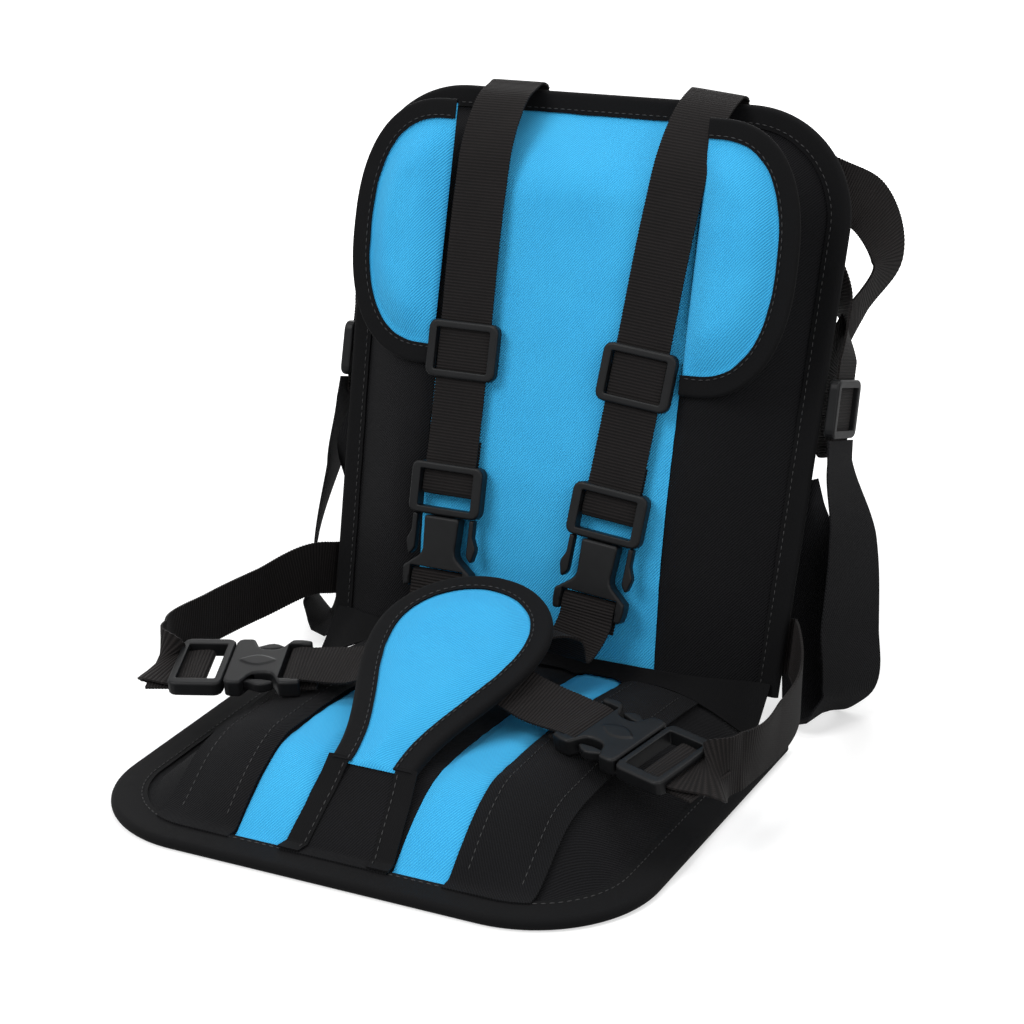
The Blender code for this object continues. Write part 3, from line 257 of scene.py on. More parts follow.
# For the cloth, tape and webbing the first colour is the painted shade in the low parts of the weave and the second
# the raised parts; for plastic and thread the two colours are random tone.
BLUE = twill("blue_cloth", (0.022, 0.30, 0.66), (0.075, 0.58, 0.93), 0.7, 0.05)
BLACK = twill("black_cloth", (0.0008, 0.0008, 0.001), (0.0115, 0.0115, 0.013), 0.85, 0.008)
TAPE = tape_weave("binding_tape", (0.0008, 0.0008, 0.001), (0.005, 0.005, 0.0056), 1.0 * MM)
WEBBING = ribbed("webbing", (0.0008, 0.0006, 0.0006), (0.0175, 0.0146, 0.0142))
PLASTIC = moulded("black_plastic", (0.004, 0.0042, 0.0046), (0.008, 0.0083, 0.009))
THREAD = spun("thread", (0.003, 0.003, 0.0033), (0.009, 0.009, 0.0096))
print("finishes", len(bpy.data.materials))

# %% [markdown]
# ## Sizes
# The script can't read the part's source, so the driving sizes are written here again, in metres. Each padded
# half has its own flat frame: x across, y away from the fold and z out of the padded face.

# %% Sizes
FIT = 0.0003
TAPE_CLOTH = 0.001
COVER_CLOTH = 0.0016
BASE_CLOTH = 0.0015
BAND_CLOTH = 0.001
BAND_LIFT = 0.0014
WEB_WIDTH = 0.032
WEB_CLOTH = 0.0012
FOLD_GAP = 0.004
HEM_LOW = TAPE_CLOTH + FIT
HEM_TOP = HEM_LOW + BASE_CLOTH + FIT + COVER_CLOTH
HEM_THICK = HEM_TOP + FIT + TAPE_CLOTH
WRAP_CLEAR = 0.0002
EDGE_INSET = 0.0022
CORNER = 0.065
SEAT_LENGTH = 0.2435
SEAT_FRONT_HALF = 0.151
SEAT_TAPE = 0.019
FOLD_HEIGHT = 0.0243
STRIPE_INNER = 0.030
STRIPE_OUTER = 0.060
BAND_WIDTH = 0.045
BACK_LENGTH = 0.326
BACK_TOP_HALF = 0.1525
BACK_TAPE = 0.0125
BACK_DEPTH = 0.0245
BACK_BULGE = 0.012
BACK_SEAM = 0.075
FOLD_Y = SEAT_LENGTH / 2
SEAT_AT = Matrix.Translation((0.0, FOLD_Y, 0.0)) @ Matrix.Rotation(math.pi, 4, "Z")
BACK_AT = Matrix.Translation((0.0, FOLD_Y, FOLD_HEIGHT)) @ Matrix.Rotation(math.radians(75.7), 4, "X")
SIDES = (("l", -1), ("r", 1))


def ease(t):
    """Quarter sine from 0 to 1, flat past both ends."""
    return np.sin(np.pi / 2 * np.clip(t, 0.0, 1.0))


def ripple(a, b, size, seed):
    """Smooth random swell between -1 and 1, the same in each run."""
    return np.array([noise.noise(Vector((x / size, y / size, seed))) for x, y in zip(a, b)])


def placed(matrix, spots):
    """Points of one half's frame, in the row frame."""
    turn = np.array(matrix)
    return spots @ turn[:3, :3].T + turn[:3, 3]


class Cushion:
    """Shape of one padded half."""

    def __init__(self, at, length, fold_half, far_half, hem, roll, level, fold_top, top, top_at, seams):
        self.at = at
        self.length = length
        self.fold_half = fold_half
        self.far_half = far_half
        self.corner = CORNER
        self.hem = hem
        self.roll = roll
        self.level = level
        self.fold_rise = fold_top - level - HEM_TOP
        self.crown = top - level - HEM_TOP
        self.top_at = top_at
        self.seams = seams

    def edge(self, y, inset=0.0):
        """Half width at y, drawn in by an inset and rounded at the far corners."""
        half = self.fold_half + (self.far_half - self.fold_half) * y / self.length - inset
        into = np.maximum(y - (self.length - self.corner), 0.0)
        radius = self.corner - inset
        return half - radius + np.sqrt(np.maximum(radius ** 2 - into ** 2, 0.0))

    def cover(self, x, y):
        """Height of the cover's outer face."""
        body = self.fold_rise + (self.crown - self.fold_rise) * ease(y / self.top_at)
        share = ease((self.edge(y, self.hem) - np.abs(x)) / self.roll)
        share = share * ease((self.length - self.hem - y) / self.roll)
        dip = sum(np.exp(-((np.abs(x) - seam) / 0.004) ** 2) for seam in self.seams)
        return self.level + HEM_TOP + (body - 0.002 * dip) * share

    def skin(self, x, y, seed):
        """The cover with the slack of real cloth: broad swells, and puckers beside each seam."""
        inside = np.clip((self.edge(y, self.hem) - np.abs(x)) / 0.02, 0.0, 1.0)
        inside = inside * np.clip((self.length - self.hem - y) / 0.02, 0.0, 1.0)
        swell = 0.0009 * ripple(x, y, 0.055, seed) + 0.0004 * ripple(x, y, 0.022, seed + 5.0)
        for seam in self.seams:
            near = np.exp(-np.abs(np.abs(x) - seam) / 0.007)
            swell = swell + 0.0005 * near * ripple(x * 0.3, y, 0.0075, seed + 9.0)
        return self.cover(x, y) + swell * inside

    def outline(self, near, arc_steps=28, straight_steps=44):
        """Clockwise edge from the fold's left end round the far corners to its right end."""
        start = self.length - self.corner
        turn = np.linspace(0.0, np.pi / 2, arc_steps)
        y = np.concatenate([start + self.corner * np.cos(turn), np.linspace(start, near, straight_steps)[1:]])
        x = self.edge(y)
        across = np.linspace(-x[0], x[0], 40)[1:-1]
        return np.concatenate([np.stack([-x[::-1], y[::-1]], 1), np.stack([across, np.full(len(across), y[0])], 1),
                               np.stack([x, y], 1)])


SEAT = Cushion(SEAT_AT, SEAT_LENGTH, 0.157, SEAT_FRONT_HALF, 0.0225, 0.058, 0.0, FOLD_HEIGHT, 0.0385, 0.14,
               (STRIPE_INNER, STRIPE_OUTER))
BACK = Cushion(BACK_AT, BACK_LENGTH, 0.142, BACK_TOP_HALF, 0.0135, 0.050, -BACK_DEPTH, 0.0, BACK_BULGE, 0.11,
               (BACK_SEAM,))
print("seat crown", round(float(SEAT.cover(np.zeros(1), np.array([0.14]))[0]), 4))

# %% [markdown]
# ## Cloth helpers
# A panel starts as a grid. Its points are moved to the panel's place, its UV map is set to the flat size of
# the cloth in metres, and Solidify gives it the thickness of the cloth. A strap is a long narrow grid.


# %% Cloth helpers
def apply(piece, kind, **settings):
    """Adds one modifier and applies it."""
    bpy.ops.object.select_all(action="DESELECT")
    bpy.context.view_layer.objects.active = piece
    piece.select_set(True)
    step = piece.modifiers.new(kind.lower(), kind)
    for key, value in settings.items():
        setattr(step, key, value)
    bpy.ops.object.modifier_apply(modifier=step.name)


def cloth(name, columns, rows, place, thick, offset=-1.0):
    """Grid moved to place(u, v), which gives points in the row frame and flat coordinates in metres."""
    bpy.ops.object.select_all(action="DESELECT")
    bpy.ops.mesh.primitive_grid_add(x_subdivisions=columns, y_subdivisions=rows, size=1.0)
    piece = bpy.context.object
    piece.name = name
    mesh = piece.data
    mesh.name = name
    flat = np.empty(len(mesh.vertices) * 3, np.float32)
    mesh.vertices.foreach_get("co", flat)
    flat = flat.reshape(-1, 3).astype(float) + 0.5
    spots, weave = place(flat[:, 0], flat[:, 1])
    mesh.vertices.foreach_set("co", np.asarray(spots, np.float32).ravel())
    corners = np.empty(len(mesh.loops), np.int32)
    mesh.loops.foreach_get("vertex_index", corners)
    mesh.uv_layers[0].data.foreach_set("uv", np.asarray(weave, np.float32)[corners].ravel())
    mesh.update()
    if thick:
        apply(piece, "SOLIDIFY", thickness=thick, offset=offset, use_even_offset=False)
    return piece


def dress(piece, finish, slot, body, *nodes):
    """Finish, material slot (not used), body and the CAD nodes that a piece stands for."""
    piece.data.materials.clear()
    piece.data.materials.append(finish)
    piece.data.shade_smooth()
    piece.data.set_sharp_from_angle(angle=math.radians(50))
    if nodes:
        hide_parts(*nodes)
    if body:
        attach(piece, body)
    return piece


def panel(name, cushion, low, high, columns, rows, seed):
    """Cover panel between two lines low(y) and high(y), with a wall at the fold end."""
    wall = 0.05

    def place(u, v):
        t = np.clip((v - wall) / (1 - wall), 0.0, 1.0)
        y = FOLD_GAP / 2 + (cushion.length - EDGE_INSET - FOLD_GAP / 2) * t
        x = low(y) + (high(y) - low(y)) * u
        top = cushion.skin(x, y, seed)
        foot = cushion.level + BASE_CLOTH + FIT + COVER_CLOTH
        z = np.where(v < wall, foot + (top - foot) * v / wall, top)
        return placed(cushion.at, np.stack([x, y, z], 1)), np.stack([x, y + np.minimum(v - wall, 0.0) * 0.3], 1)

    return cloth(name, columns, rows, place, COVER_CLOTH)


def tape(name, at, route, width, thick, level, seed):
    """Tape folded round an edge: a U section with a round back, carried along a clockwise route."""
    half = thick / 2
    along = np.gradient(route, axis=0)
    along /= np.linalg.norm(along, axis=1)[:, None]
    inward = np.stack([along[:, 1], -along[:, 0]], 1)
    run = np.concatenate([[0.0], np.cumsum(np.linalg.norm(np.diff(route, axis=0), axis=1))])
    turn = np.linspace(-np.pi / 2, np.pi / 2, 11)
    flats = np.linspace(width, half, 7)[:-1]
    inset = np.concatenate([flats, half - half * np.cos(turn), flats[::-1]])
    height = np.concatenate([np.zeros(6), half + half * np.sin(turn), np.full(6, thick)])
    around = np.concatenate([[0.0], np.cumsum(np.hypot(np.diff(inset), np.diff(height)))])
    last = len(inset) - 1

    def place(u, v):
        i = np.rint(u * last).astype(int)
        t = v * run[-1]
        spot = np.stack([np.interp(t, run, route[:, k]) for k in (0, 1)], 1)
        way = np.stack([np.interp(t, run, inward[:, k]) for k in (0, 1)], 1)
        slack = 0.00035 * ripple(t, around[i], 0.012, seed)
        spot = spot + way * (inset[i] + slack * (inset[i] > 0.7 * width))[:, None]
        z = level + height[i] + np.where(height[i] > half, 0.6, -0.1) * np.abs(slack)
        return placed(at, np.column_stack([spot, z])), np.stack([around[i], t], 1)

    return cloth(name, last, int(run[-1] / 0.0035), place, TAPE_CLOTH)


def smooth_line(stations, spacing):
    """Evenly spaced centres, sides and widths on a smooth curve through (centre, side, width) stations."""
    spots = np.array([s[0] for s in stations], float)
    sides = np.array([Vector(s[1]).normalized() for s in stations], float)
    widths = np.array([s[2] if len(s) > 2 else WEB_WIDTH for s in stations], float)
    runs = np.linalg.norm(np.diff(spots, axis=0), axis=1)
    ways = np.diff(spots, axis=0) / runs[:, None]
    inner = (ways[:-1] * runs[1:, None] + ways[1:] * runs[:-1, None]) / (runs[:-1] + runs[1:])[:, None]
    tangents = np.concatenate([ways[:1], inner, ways[-1:]])
    fine = []
    for i, run in enumerate(runs):
        t = np.linspace(0.0, 1.0, 25)[:, None]
        t = t if i == len(runs) - 1 else t[:-1]
        spot = spots[i] * (2 * t ** 3 - 3 * t ** 2 + 1) + spots[i + 1] * (3 * t ** 2 - 2 * t ** 3)
        spot = spot + tangents[i] * run * (t ** 3 - 2 * t ** 2 + t) + tangents[i + 1] * run * (t ** 3 - t ** 2)
        swing = t * t * (3 - 2 * t)
        fine.append(np.column_stack([spot, sides[i] + (sides[i + 1] - sides[i]) * t,
                                     widths[i] + (widths[i + 1] - widths[i]) * swing]))
    fine = np.concatenate(fine)
    length = np.concatenate([[0.0], np.cumsum(np.linalg.norm(np.diff(fine[:, :3], axis=0), axis=1))])
    steps = np.linspace(0.0, length[-1], max(int(length[-1] / spacing), 2) + 1)
    even = np.stack([np.interp(steps, length, fine[:, k]) for k in range(7)], 1)
    return even, steps


RIB_STEP = RIB_PITCH / 4


def strap(name, stations, first=0.0, last=1.0, thick=WEB_CLOTH, ribs=True):
    """Webbing along stations, from one share of its length to another, with real ribs and a notched edge."""
    line, steps = smooth_line(stations, RIB_STEP if ribs else 0.002)
    keep = slice(int(round(first * (len(steps) - 1))), int(round(last * (len(steps) - 1))) + 1)
    tangents = np.gradient(line[:, :3], axis=0)
    tangents /= np.linalg.norm(tangents, axis=1)[:, None]
    sides = line[:, 3:6] - tangents * np.sum(line[:, 3:6] * tangents, axis=1)[:, None]
    sides /= np.linalg.norm(sides, axis=1)[:, None]
    faces = np.cross(sides, tangents)
    line, steps, sides, faces = line[keep], steps[keep], sides[keep], faces[keep]
    end = len(steps) - 1
    print(name, "length", round(1000 * (steps[-1] - steps[0])), "mm")
    rib = np.cos(2 * np.pi * steps / RIB_PITCH) if ribs else np.zeros(len(steps))

    def place(u, v):
        i = np.rint(v * end).astype(int)
        width = line[i, 6] - (0.0004 * (1 + rib[i]) if ribs else 0.0)
        across = (u - 0.5) * width
        lift = 0.00010 * rib[i] * (np.abs(u - 0.5) < 0.47)
        return line[i, :3] + sides[i] * across[:, None] + faces[i] * lift[:, None], np.stack([across, steps[i]], 1)

    return cloth(name, 10, end, place, thick, 0.0)


def run_of(place):
    """Length of the middle line of a cloth, from its first row to its last."""
    v = np.linspace(0.0, 1.0, 80)
    spots, _ = place(np.full_like(v, 0.5), v)
    return float(np.sum(np.linalg.norm(np.diff(spots, axis=0), axis=1)))


def cut(piece, width, length, held, *rests):
    """Prints the size a sheet was cut to. Its flat area is half the surface of the closed cloth."""
    area = min(sum(face.area for face in piece.data.polygons) / 2, width * length)
    print(piece.name, "cut", round(1000 * width), "x", round(1000 * length), "mm")


print("cloth helpers ready")

# %% [markdown]
# ## Stitches
# Every hem and band of the real seat is sewn with one thread, which shows as a row of short raised dashes.
# One stitch is modelled from a small sphere drawn long, and copied along each seam.

# %% Stitches
STITCH = 0.0030
STITCH_PITCH = 0.0042
STITCH_INSET = 0.0018
bpy.ops.object.select_all(action="DESELECT")
bpy.ops.mesh.primitive_uv_sphere_add(segments=6, ring_count=4, radius=0.5)
bpy.ops.transform.resize(value=(STITCH, 0.0007, 0.0007))
bpy.ops.object.transform_apply(location=False, rotation=False, scale=True)
stitch = bpy.context.object
stitch_spots = np.array([v.co for v in stitch.data.vertices])
stitch_faces = [tuple(f.vertices) for f in stitch.data.polygons]
bpy.data.objects.remove(stitch)


def sew(name, lines, body):
    """Rows of stitches along (points, normals) lines, as one piece."""
    spots, faces = [], []
    for points, normals in lines:
        run = np.concatenate([[0.0], np.cumsum(np.linalg.norm(np.diff(points, axis=0), axis=1))])
        at = np.arange(STITCH_PITCH / 2, run[-1], STITCH_PITCH)
        middle = np.stack([np.interp(at, run, points[:, k]) for k in range(3)], 1)
        ahead = np.stack([np.interp(at + 0.0005, run, points[:, k]) for k in range(3)], 1) - middle
        up = np.stack([np.interp(at, run, normals[:, k]) for k in range(3)], 1)
        good = np.linalg.norm(ahead, axis=1) > 1e-6
        for centre, way, out in zip(middle[good], ahead[good], up[good]):
            way = way / np.linalg.norm(way)
            side = np.cross(out, way)
            side /= np.linalg.norm(side)
            turn = np.stack([way, side, np.cross(way, side)], 1)
            start = len(spots) * len(stitch_spots)
            spots.append(centre + stitch_spots @ turn.T)
            faces += [tuple(i + start for i in face) for face in stitch_faces]
    mesh = bpy.data.meshes.new(name)
    mesh.from_pydata(np.concatenate(spots), [], faces)
    piece = bpy.data.objects.new(name, mesh)
    bpy.context.scene.collection.objects.link(piece)
    dress(piece, THREAD, "binding_tape", body)
    print(name, len(spots), "stitches")
    return piece


def on_frame(at, x, y, z, normal=(0.0, 0.0, 1.0)):
    """A seam line in one half's frame, as points and normals in the row frame."""
    points = placed(at, np.column_stack([x, y, z]))
    return points, np.tile(np.array(at)[:3, :3] @ np.array(normal), (len(points), 1))


def hem_line(at, route, inset, height, normal=(0.0, 0.0, 1.0)):
    """A seam that follows a hem at an inset."""
    along = np.gradient(route, axis=0)
    along /= np.linalg.norm(along, axis=1)[:, None]
    spots = route + np.stack([along[:, 1], -along[:, 0]], 1) * inset
    return on_frame(at, spots[:, 0], spots[:, 1], np.full(len(spots), height), normal)


# %% [markdown]
# ## Seat half
# The cover is five panels sewn edge to edge: black, blue, black, blue, black. The blue stripes run from the
# fold to the front hem. A black band is stitched over each outer panel, and one tape hems the whole edge.

# %% Seat half
GAP = 0.0002


def fixed(value):
    return lambda y: np.full_like(y, value)


center = panel("seat_center", SEAT, fixed(GAP - STRIPE_INNER), fixed(STRIPE_INNER - GAP), 24, 100, 1.0)
dress(center, BLACK, "black_cloth", "seat", "seat_cover_center", "seat_foam")
for tag, world_side in SIDES:
    side = -world_side
    ends = sorted((side * (STRIPE_INNER + GAP), side * (STRIPE_OUTER - GAP)))
    stripe = panel("seat_stripe_" + tag, SEAT, fixed(ends[0]), fixed(ends[1]), 16, 100, 2.0 + side)
    dress(stripe, BLUE, "blue_cloth", "seat", "seat_cover_blue_" + tag)
    rim = lambda y: side * SEAT.edge(y, EDGE_INSET)
    seam = fixed(side * (STRIPE_OUTER + GAP))
    low, high = (seam, rim) if side > 0 else (rim, seam)
    outer = panel("seat_outer_" + tag, SEAT, low, high, 40, 100, 4.0 + side)
    dress(outer, BLACK, "black_cloth", "seat", "seat_cover_outer_" + tag)


def on_seat(x, y, lift):
    return SEAT.skin(x, y, 4.0) + lift


FRONT_LAP = 0.004


def front_row(start, x, v):
    """Row of cloth that ends at the front tape's inner edge."""
    radius = CORNER - SEAT_TAPE
    past = np.maximum(np.abs(x) - (SEAT_FRONT_HALF - CORNER), 0.0)
    end = SEAT_LENGTH - CORNER + np.sqrt(radius ** 2 - past ** 2) + FRONT_LAP
    return start + (end - start) * v


band_lines = []
for tag, world_side in SIDES:
    side = -world_side
    inner = STRIPE_OUTER + GAP

    def band_place(u, v):
        across = inner + BAND_WIDTH * (u if side > 0 else 1 - u)
        share = (across - inner) / BAND_WIDTH
        y = front_row(0.0066, across, v)
        raised = 0.0022 * np.clip((share - 0.8) / 0.2, 0.0, 1.0) ** 2 * ease(v / 0.3) * ease((1 - v) / 0.15)
        z = on_seat(side * across, y, BAND_LIFT + BAND_CLOTH + raised + 0.0003 * ripple(across, y, 0.02, 3.0))
        return placed(SEAT_AT, np.stack([side * across, y, z], 1)), np.stack([across, y], 1)

    band = cloth("seat_band_" + tag, 24, 100, band_place, BAND_CLOTH)
    dress(band, BLACK, "black_cloth", "seat", "seat_side_band_" + tag)
    cut(band, BAND_WIDTH + 0.001, run_of(band_place), "stretched", "seat_cover_outer_" + tag)
    y = np.linspace(0.012, 0.215, 90)
    for across in (inner + 0.008, inner + BAND_WIDTH - 0.009):
        x = np.full_like(y, side * across)
        band_lines.append(on_frame(SEAT_AT, x, y, on_seat(x, y, BAND_LIFT + BAND_CLOTH + 0.0002)))

seat_route = SEAT.outline(FOLD_GAP / 2)
seat_hem = tape("seat_hem", SEAT_AT, seat_route, SEAT_TAPE, HEM_THICK, 0.0, 11.0)
dress(seat_hem, TAPE, "binding_tape", "seat", "seat_binding")
seat_lines = [hem_line(SEAT_AT, seat_route, SEAT_TAPE - 0.0028, HEM_THICK + 0.0002)]
sew("seat_stitches", seat_lines + band_lines, "seat")


def base_place(cushion):
    def place(u, v):
        y = FOLD_GAP / 2 + (cushion.length - EDGE_INSET - FOLD_GAP / 2) * v
        x = (2 * u - 1) * cushion.edge(y, EDGE_INSET)
        inside = np.minimum(cushion.edge(y, cushion.hem) - np.abs(x), cushion.length - cushion.hem - y)
        z = cushion.level + HEM_LOW * (1 - np.clip(inside / 0.004, 0.0, 1.0))
        return placed(cushion.at, np.stack([x, y, z], 1)), np.stack([x, y], 1)
    return place


bottom = cloth("seat_bottom", 60, 60, base_place(SEAT), BASE_CLOTH, 1.0)
dress(bottom, BLACK, "black_cloth", "seat", "seat_base")
cut(bottom, 2 * SEAT.fold_half, SEAT_LENGTH, "stretched", "seat_foam")
print("seat pieces made")

# %% [markdown]
# ## Backrest half
# A blue centre panel between two black sides over foam and a stiffening board, closed behind by plain black
# cloth and hemmed all round with tape.

# %% Backrest half
blue = panel("back_center", BACK, fixed(GAP - BACK_SEAM), fixed(BACK_SEAM - GAP), 60, 130, 21.0)
dress(blue, BLUE, "blue_cloth", "backrest", "back_cover_blue", "back_foam")
for tag, side in SIDES:
    rim = lambda y: side * BACK.edge(y, EDGE_INSET)
    seam = fixed(side * (BACK_SEAM + GAP))
    low, high = (seam, rim) if side > 0 else (rim, seam)
    flank = panel("back_side_" + tag, BACK, low, high, 40, 130, 24.0 + side)
    dress(flank, BLACK, "black_cloth", "backrest", "back_cover_side_" + tag)
rear = cloth("back_rear", 60, 80, base_place(BACK), BASE_CLOTH, 1.0)
dress(rear, BLACK, "black_cloth", "backrest", "back_rear_cover", "back_board")
cut(rear, 2 * BACK_TOP_HALF, BACK_LENGTH, "stretched", "back_foam")
back_route = BACK.outline(FOLD_GAP / 2)
back_hem = tape("back_hem", BACK_AT, back_route, BACK_TAPE, HEM_THICK, BACK.level, 13.0)
dress(back_hem, TAPE, "binding_tape", "backrest", "back_binding")
back_lines = [hem_line(BACK_AT, back_route, BACK_TAPE - 0.0022, BACK.level + HEM_THICK + 0.0002),
              hem_line(BACK_AT, back_route, BACK_TAPE - 0.0022, BACK.level - 0.0002, (0.0, 0.0, -1.0))]
sew("back_stitches", back_lines, "backrest")
print("backrest pieces made")

# %% [markdown]
# ## Fold
# A tape covers the seam in the valley between seat and backrest, and plain cloth closes the fold behind. Both
# are shaped in this pose, from the seat at one end to the backrest at the other, and are attached to no body.

# %% Fold
VALLEY_HALF = 0.138
VALLEY_CUT = 0.016
CLOSING_WIDTH = 0.230


def valley_place(u, v):
    x = VALLEY_HALF * (2 * u - 1)
    lift = BAND_LIFT + BAND_CLOTH
    ones = np.ones_like(x)
    front_y, back_y, line = 0.006, 0.0095, 0.003
    front = np.stack([x, FOLD_Y - front_y * ones, SEAT.cover(x, front_y * ones) + lift], 1)
    low = np.stack([x, FOLD_Y - line * ones, SEAT.cover(x, line * ones) + 1.5 * lift], 1)
    high = placed(BACK_AT, np.stack([x, back_y * ones, BACK.cover(x, back_y * ones) + lift], 1))
    t = v[:, None]
    spots = front * (1 - t) ** 2 + 2 * low * t * (1 - t) + high * t ** 2
    return spots, np.stack([x, v * VALLEY_CUT], 1)


valley = cloth("fold_tape", 80, 8, valley_place, BAND_CLOTH)
dress(valley, TAPE, "binding_tape", None, "fold_seam_band")
cut(valley, 2 * VALLEY_HALF, VALLEY_CUT, "folded", "seat_cover_center", "back_cover_blue")
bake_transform(valley)

behind = -BACK_DEPTH - FIT - BAND_CLOTH
lap = BACK_AT @ Vector((0.0, 0.018, behind))
foot = BACK_AT @ Vector((0.0, 0.0, behind))
heel = Vector((0.0, FOLD_Y - FOLD_GAP / 2 + BAND_CLOTH + 2 * FIT, BASE_CLOTH + BAND_CLOTH))
across = (1.0, 0.0, 0.0)
dip = heel.lerp(foot, 0.5) - Vector((0.0, 0.0, BASE_CLOTH))
route = [(spot, across, CLOSING_WIDTH) for spot in (heel, dip, foot, lap)]
closing = strap("fold_rear", route, thick=BAND_CLOTH, ribs=False)
dress(closing, BLACK, "black_cloth", None, "fold_back_strip")
cut(closing, CLOSING_WIDTH, float(smooth_line(route, 0.002)[1][-1]), "folded", "seat_base", "back_rear_cover")
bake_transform(closing)
print("fold pieces made")

# %% [markdown]
# ## Padded flaps
# The head wings and the crotch pad are small cushions: a blue face swollen over wadding, a backing, and tape
# round the edge. Each is a closed form of two grids that meet at the edge.


# %% Padded flaps
def padded_flap(name, columns, rows, place, low, high, at):
    """Closed cushion between two heights over the area place(u, v)."""
    halves = []
    for label, height in (("a", low), ("b", high)):
        def side_place(u, v):
            x, y = place(u, v)
            return placed(at, np.stack([x, y, height(x, y)], 1)), np.stack([x, y], 1)
        halves.append(cloth(name + label, columns, rows, side_place, 0.0))
    bpy.ops.object.select_all(action="DESELECT")
    for half in halves:
        half.select_set(True)
    bpy.context.view_layer.objects.active = halves[1]
    bpy.ops.object.join()
    piece = bpy.context.object
    piece.name = name
    piece.data.name = name
    bpy.ops.object.mode_set(mode="EDIT")
    bpy.ops.mesh.select_all(action="SELECT")
    bpy.ops.mesh.remove_doubles(threshold=0.00005)
    bpy.ops.mesh.normals_make_consistent(inside=False)
    bpy.ops.object.mode_set(mode="OBJECT")
    return piece


WING_SEAM_X = 0.078
WING_CENTRE = 0.239
WING_GAP = 0.004
WING_REACH = 0.053
WING_HALF = 0.0755
WING_POWER = 2.4
WING_TAPE = 0.0115
WING_LOW = TAPE_CLOTH + FIT
WING_TOP = WING_LOW + 0.0012
WING_INNER = -0.0015


def wing_reach(y, inset):
    tall = np.minimum(np.abs(y) / (WING_HALF - inset), 1.0)
    return (WING_REACH - inset) * (1 - tall ** WING_POWER) ** (1 / WING_POWER)


for tag, side in SIDES:
    wing_at = BACK_AT @ Matrix.Translation((side * WING_SEAM_X, WING_CENTRE, BACK_BULGE + 2 * FIT))

    def wing_place(u, v):
        y = (WING_HALF - EDGE_INSET) * 0.998 * np.sin(np.pi / 2 * (2 * v - 1))
        share = u if side > 0 else 1 - u
        return side * (WING_INNER + (wing_reach(y, EDGE_INSET) + WING_GAP - WING_INNER) * share), y

    def wing_high(x, y):
        across = side * x - WING_GAP
        inner = side * x - WING_INNER
        flat = WING_TAPE + 0.002
        reach = np.maximum(across, 0.0) / (WING_REACH - flat)
        inward = 1 - (reach ** WING_POWER + (np.abs(y) / (WING_HALF - flat)) ** WING_POWER) ** (1 / WING_POWER)
        crown = ease(inward * WING_REACH / 0.020) * ease(inner / 0.018)
        swell = 0.0006 * ripple(x, y, 0.03, 31.0 + side) + 0.00035 * ripple(x, y, 0.011, 35.0 + side)
        rim = np.minimum(wing_reach(y, EDGE_INSET) - across, inner)
        return WING_LOW + (WING_TOP - WING_LOW) * ease(rim / 0.0015) + (0.0095 + swell) * crown

    def wing_low(x, y):
        return np.full_like(x, WING_LOW)

    wing = padded_flap("wing_" + tag, 44, 80, wing_place, wing_low, wing_high, wing_at)
    dress(wing, BLUE, "blue_cloth", "wing_" + tag, "wing_pad_" + tag)
    turn = np.linspace(np.pi / 2, -np.pi / 2, 90)
    power = 2 / WING_POWER
    route = np.stack([WING_GAP + WING_REACH * np.cos(turn).clip(0, 1) ** power,
                      WING_HALF * np.sign(turn) * np.abs(np.sin(turn)) ** power], 1)
    route = np.concatenate([[(WING_INNER, WING_HALF)], route, [(WING_INNER, -WING_HALF)]])
    if side < 0:
        route = route[::-1] * np.array([-1.0, 1.0])
    thick = WING_TOP + FIT + TAPE_CLOTH
    hem = tape("wing_hem_" + tag, wing_at, route, WING_TAPE, thick, 0.0, 41.0 + side)
    dress(hem, TAPE, "binding_tape", "wing_" + tag, "wing_binding_" + tag)
    sew("wing_stitches_" + tag, [hem_line(wing_at, route, WING_TAPE - STITCH_INSET, thick + FIT)], "wing_" + tag)

PAD_FROM_FRONT = 0.058
PAD_AT = SEAT_LENGTH - PAD_FROM_FRONT
PAD_NECK_HALF = 0.024
PAD_HEAD = 0.050
PAD_HEAD_AT = 0.104
PAD_TAPE = 0.012
pad_height = float(SEAT.cover(np.zeros(1), np.array([PAD_AT]))[0]) + BAND_LIFT + BAND_CLOTH + 2 * FIT
PAD_FRAME = Matrix.Translation((0.0, FOLD_Y - PAD_AT, pad_height)) @ Matrix.Rotation(math.radians(19.4), 4, "X")


def pad_half(s, inset):
    head = np.sqrt(np.maximum((PAD_HEAD - inset) ** 2 - (s - PAD_HEAD_AT) ** 2, 0.0))
    swell = 0.5 - 0.5 * np.cos(np.pi * np.minimum(s, PAD_HEAD_AT) / PAD_HEAD_AT)
    return np.where(s > PAD_HEAD_AT, head, PAD_NECK_HALF + (PAD_HEAD - PAD_NECK_HALF) * swell - inset)


def pad_place(u, v):
    s = (PAD_HEAD_AT + (PAD_HEAD - EDGE_INSET) * 0.998) * np.where(v < 0.5, v, 0.5 + 0.5 * ease(2 * v - 1))
    return (2 * u - 1) * pad_half(s, EDGE_INSET), s


def pad_high(x, s):
    flat = PAD_TAPE + 0.002
    neck = pad_half(s, flat) - np.abs(x)
    head = PAD_HEAD - flat - np.hypot(x, s - PAD_HEAD_AT)
    inward = np.where(s > PAD_HEAD_AT, head, neck)
    swell = 0.0005 * ripple(x, s, 0.025, 51.0)
    rim = np.minimum(pad_half(s, EDGE_INSET) - np.abs(x), PAD_HEAD_AT + PAD_HEAD - EDGE_INSET - s)
    rim = np.minimum(rim, s)
    face_low = HEM_LOW + BASE_CLOTH + FIT
    crown = (0.004 + swell) * ease(inward / 0.016) * ease(s / 0.012)
    return face_low + (HEM_TOP - face_low) * ease(rim / 0.002) + crown


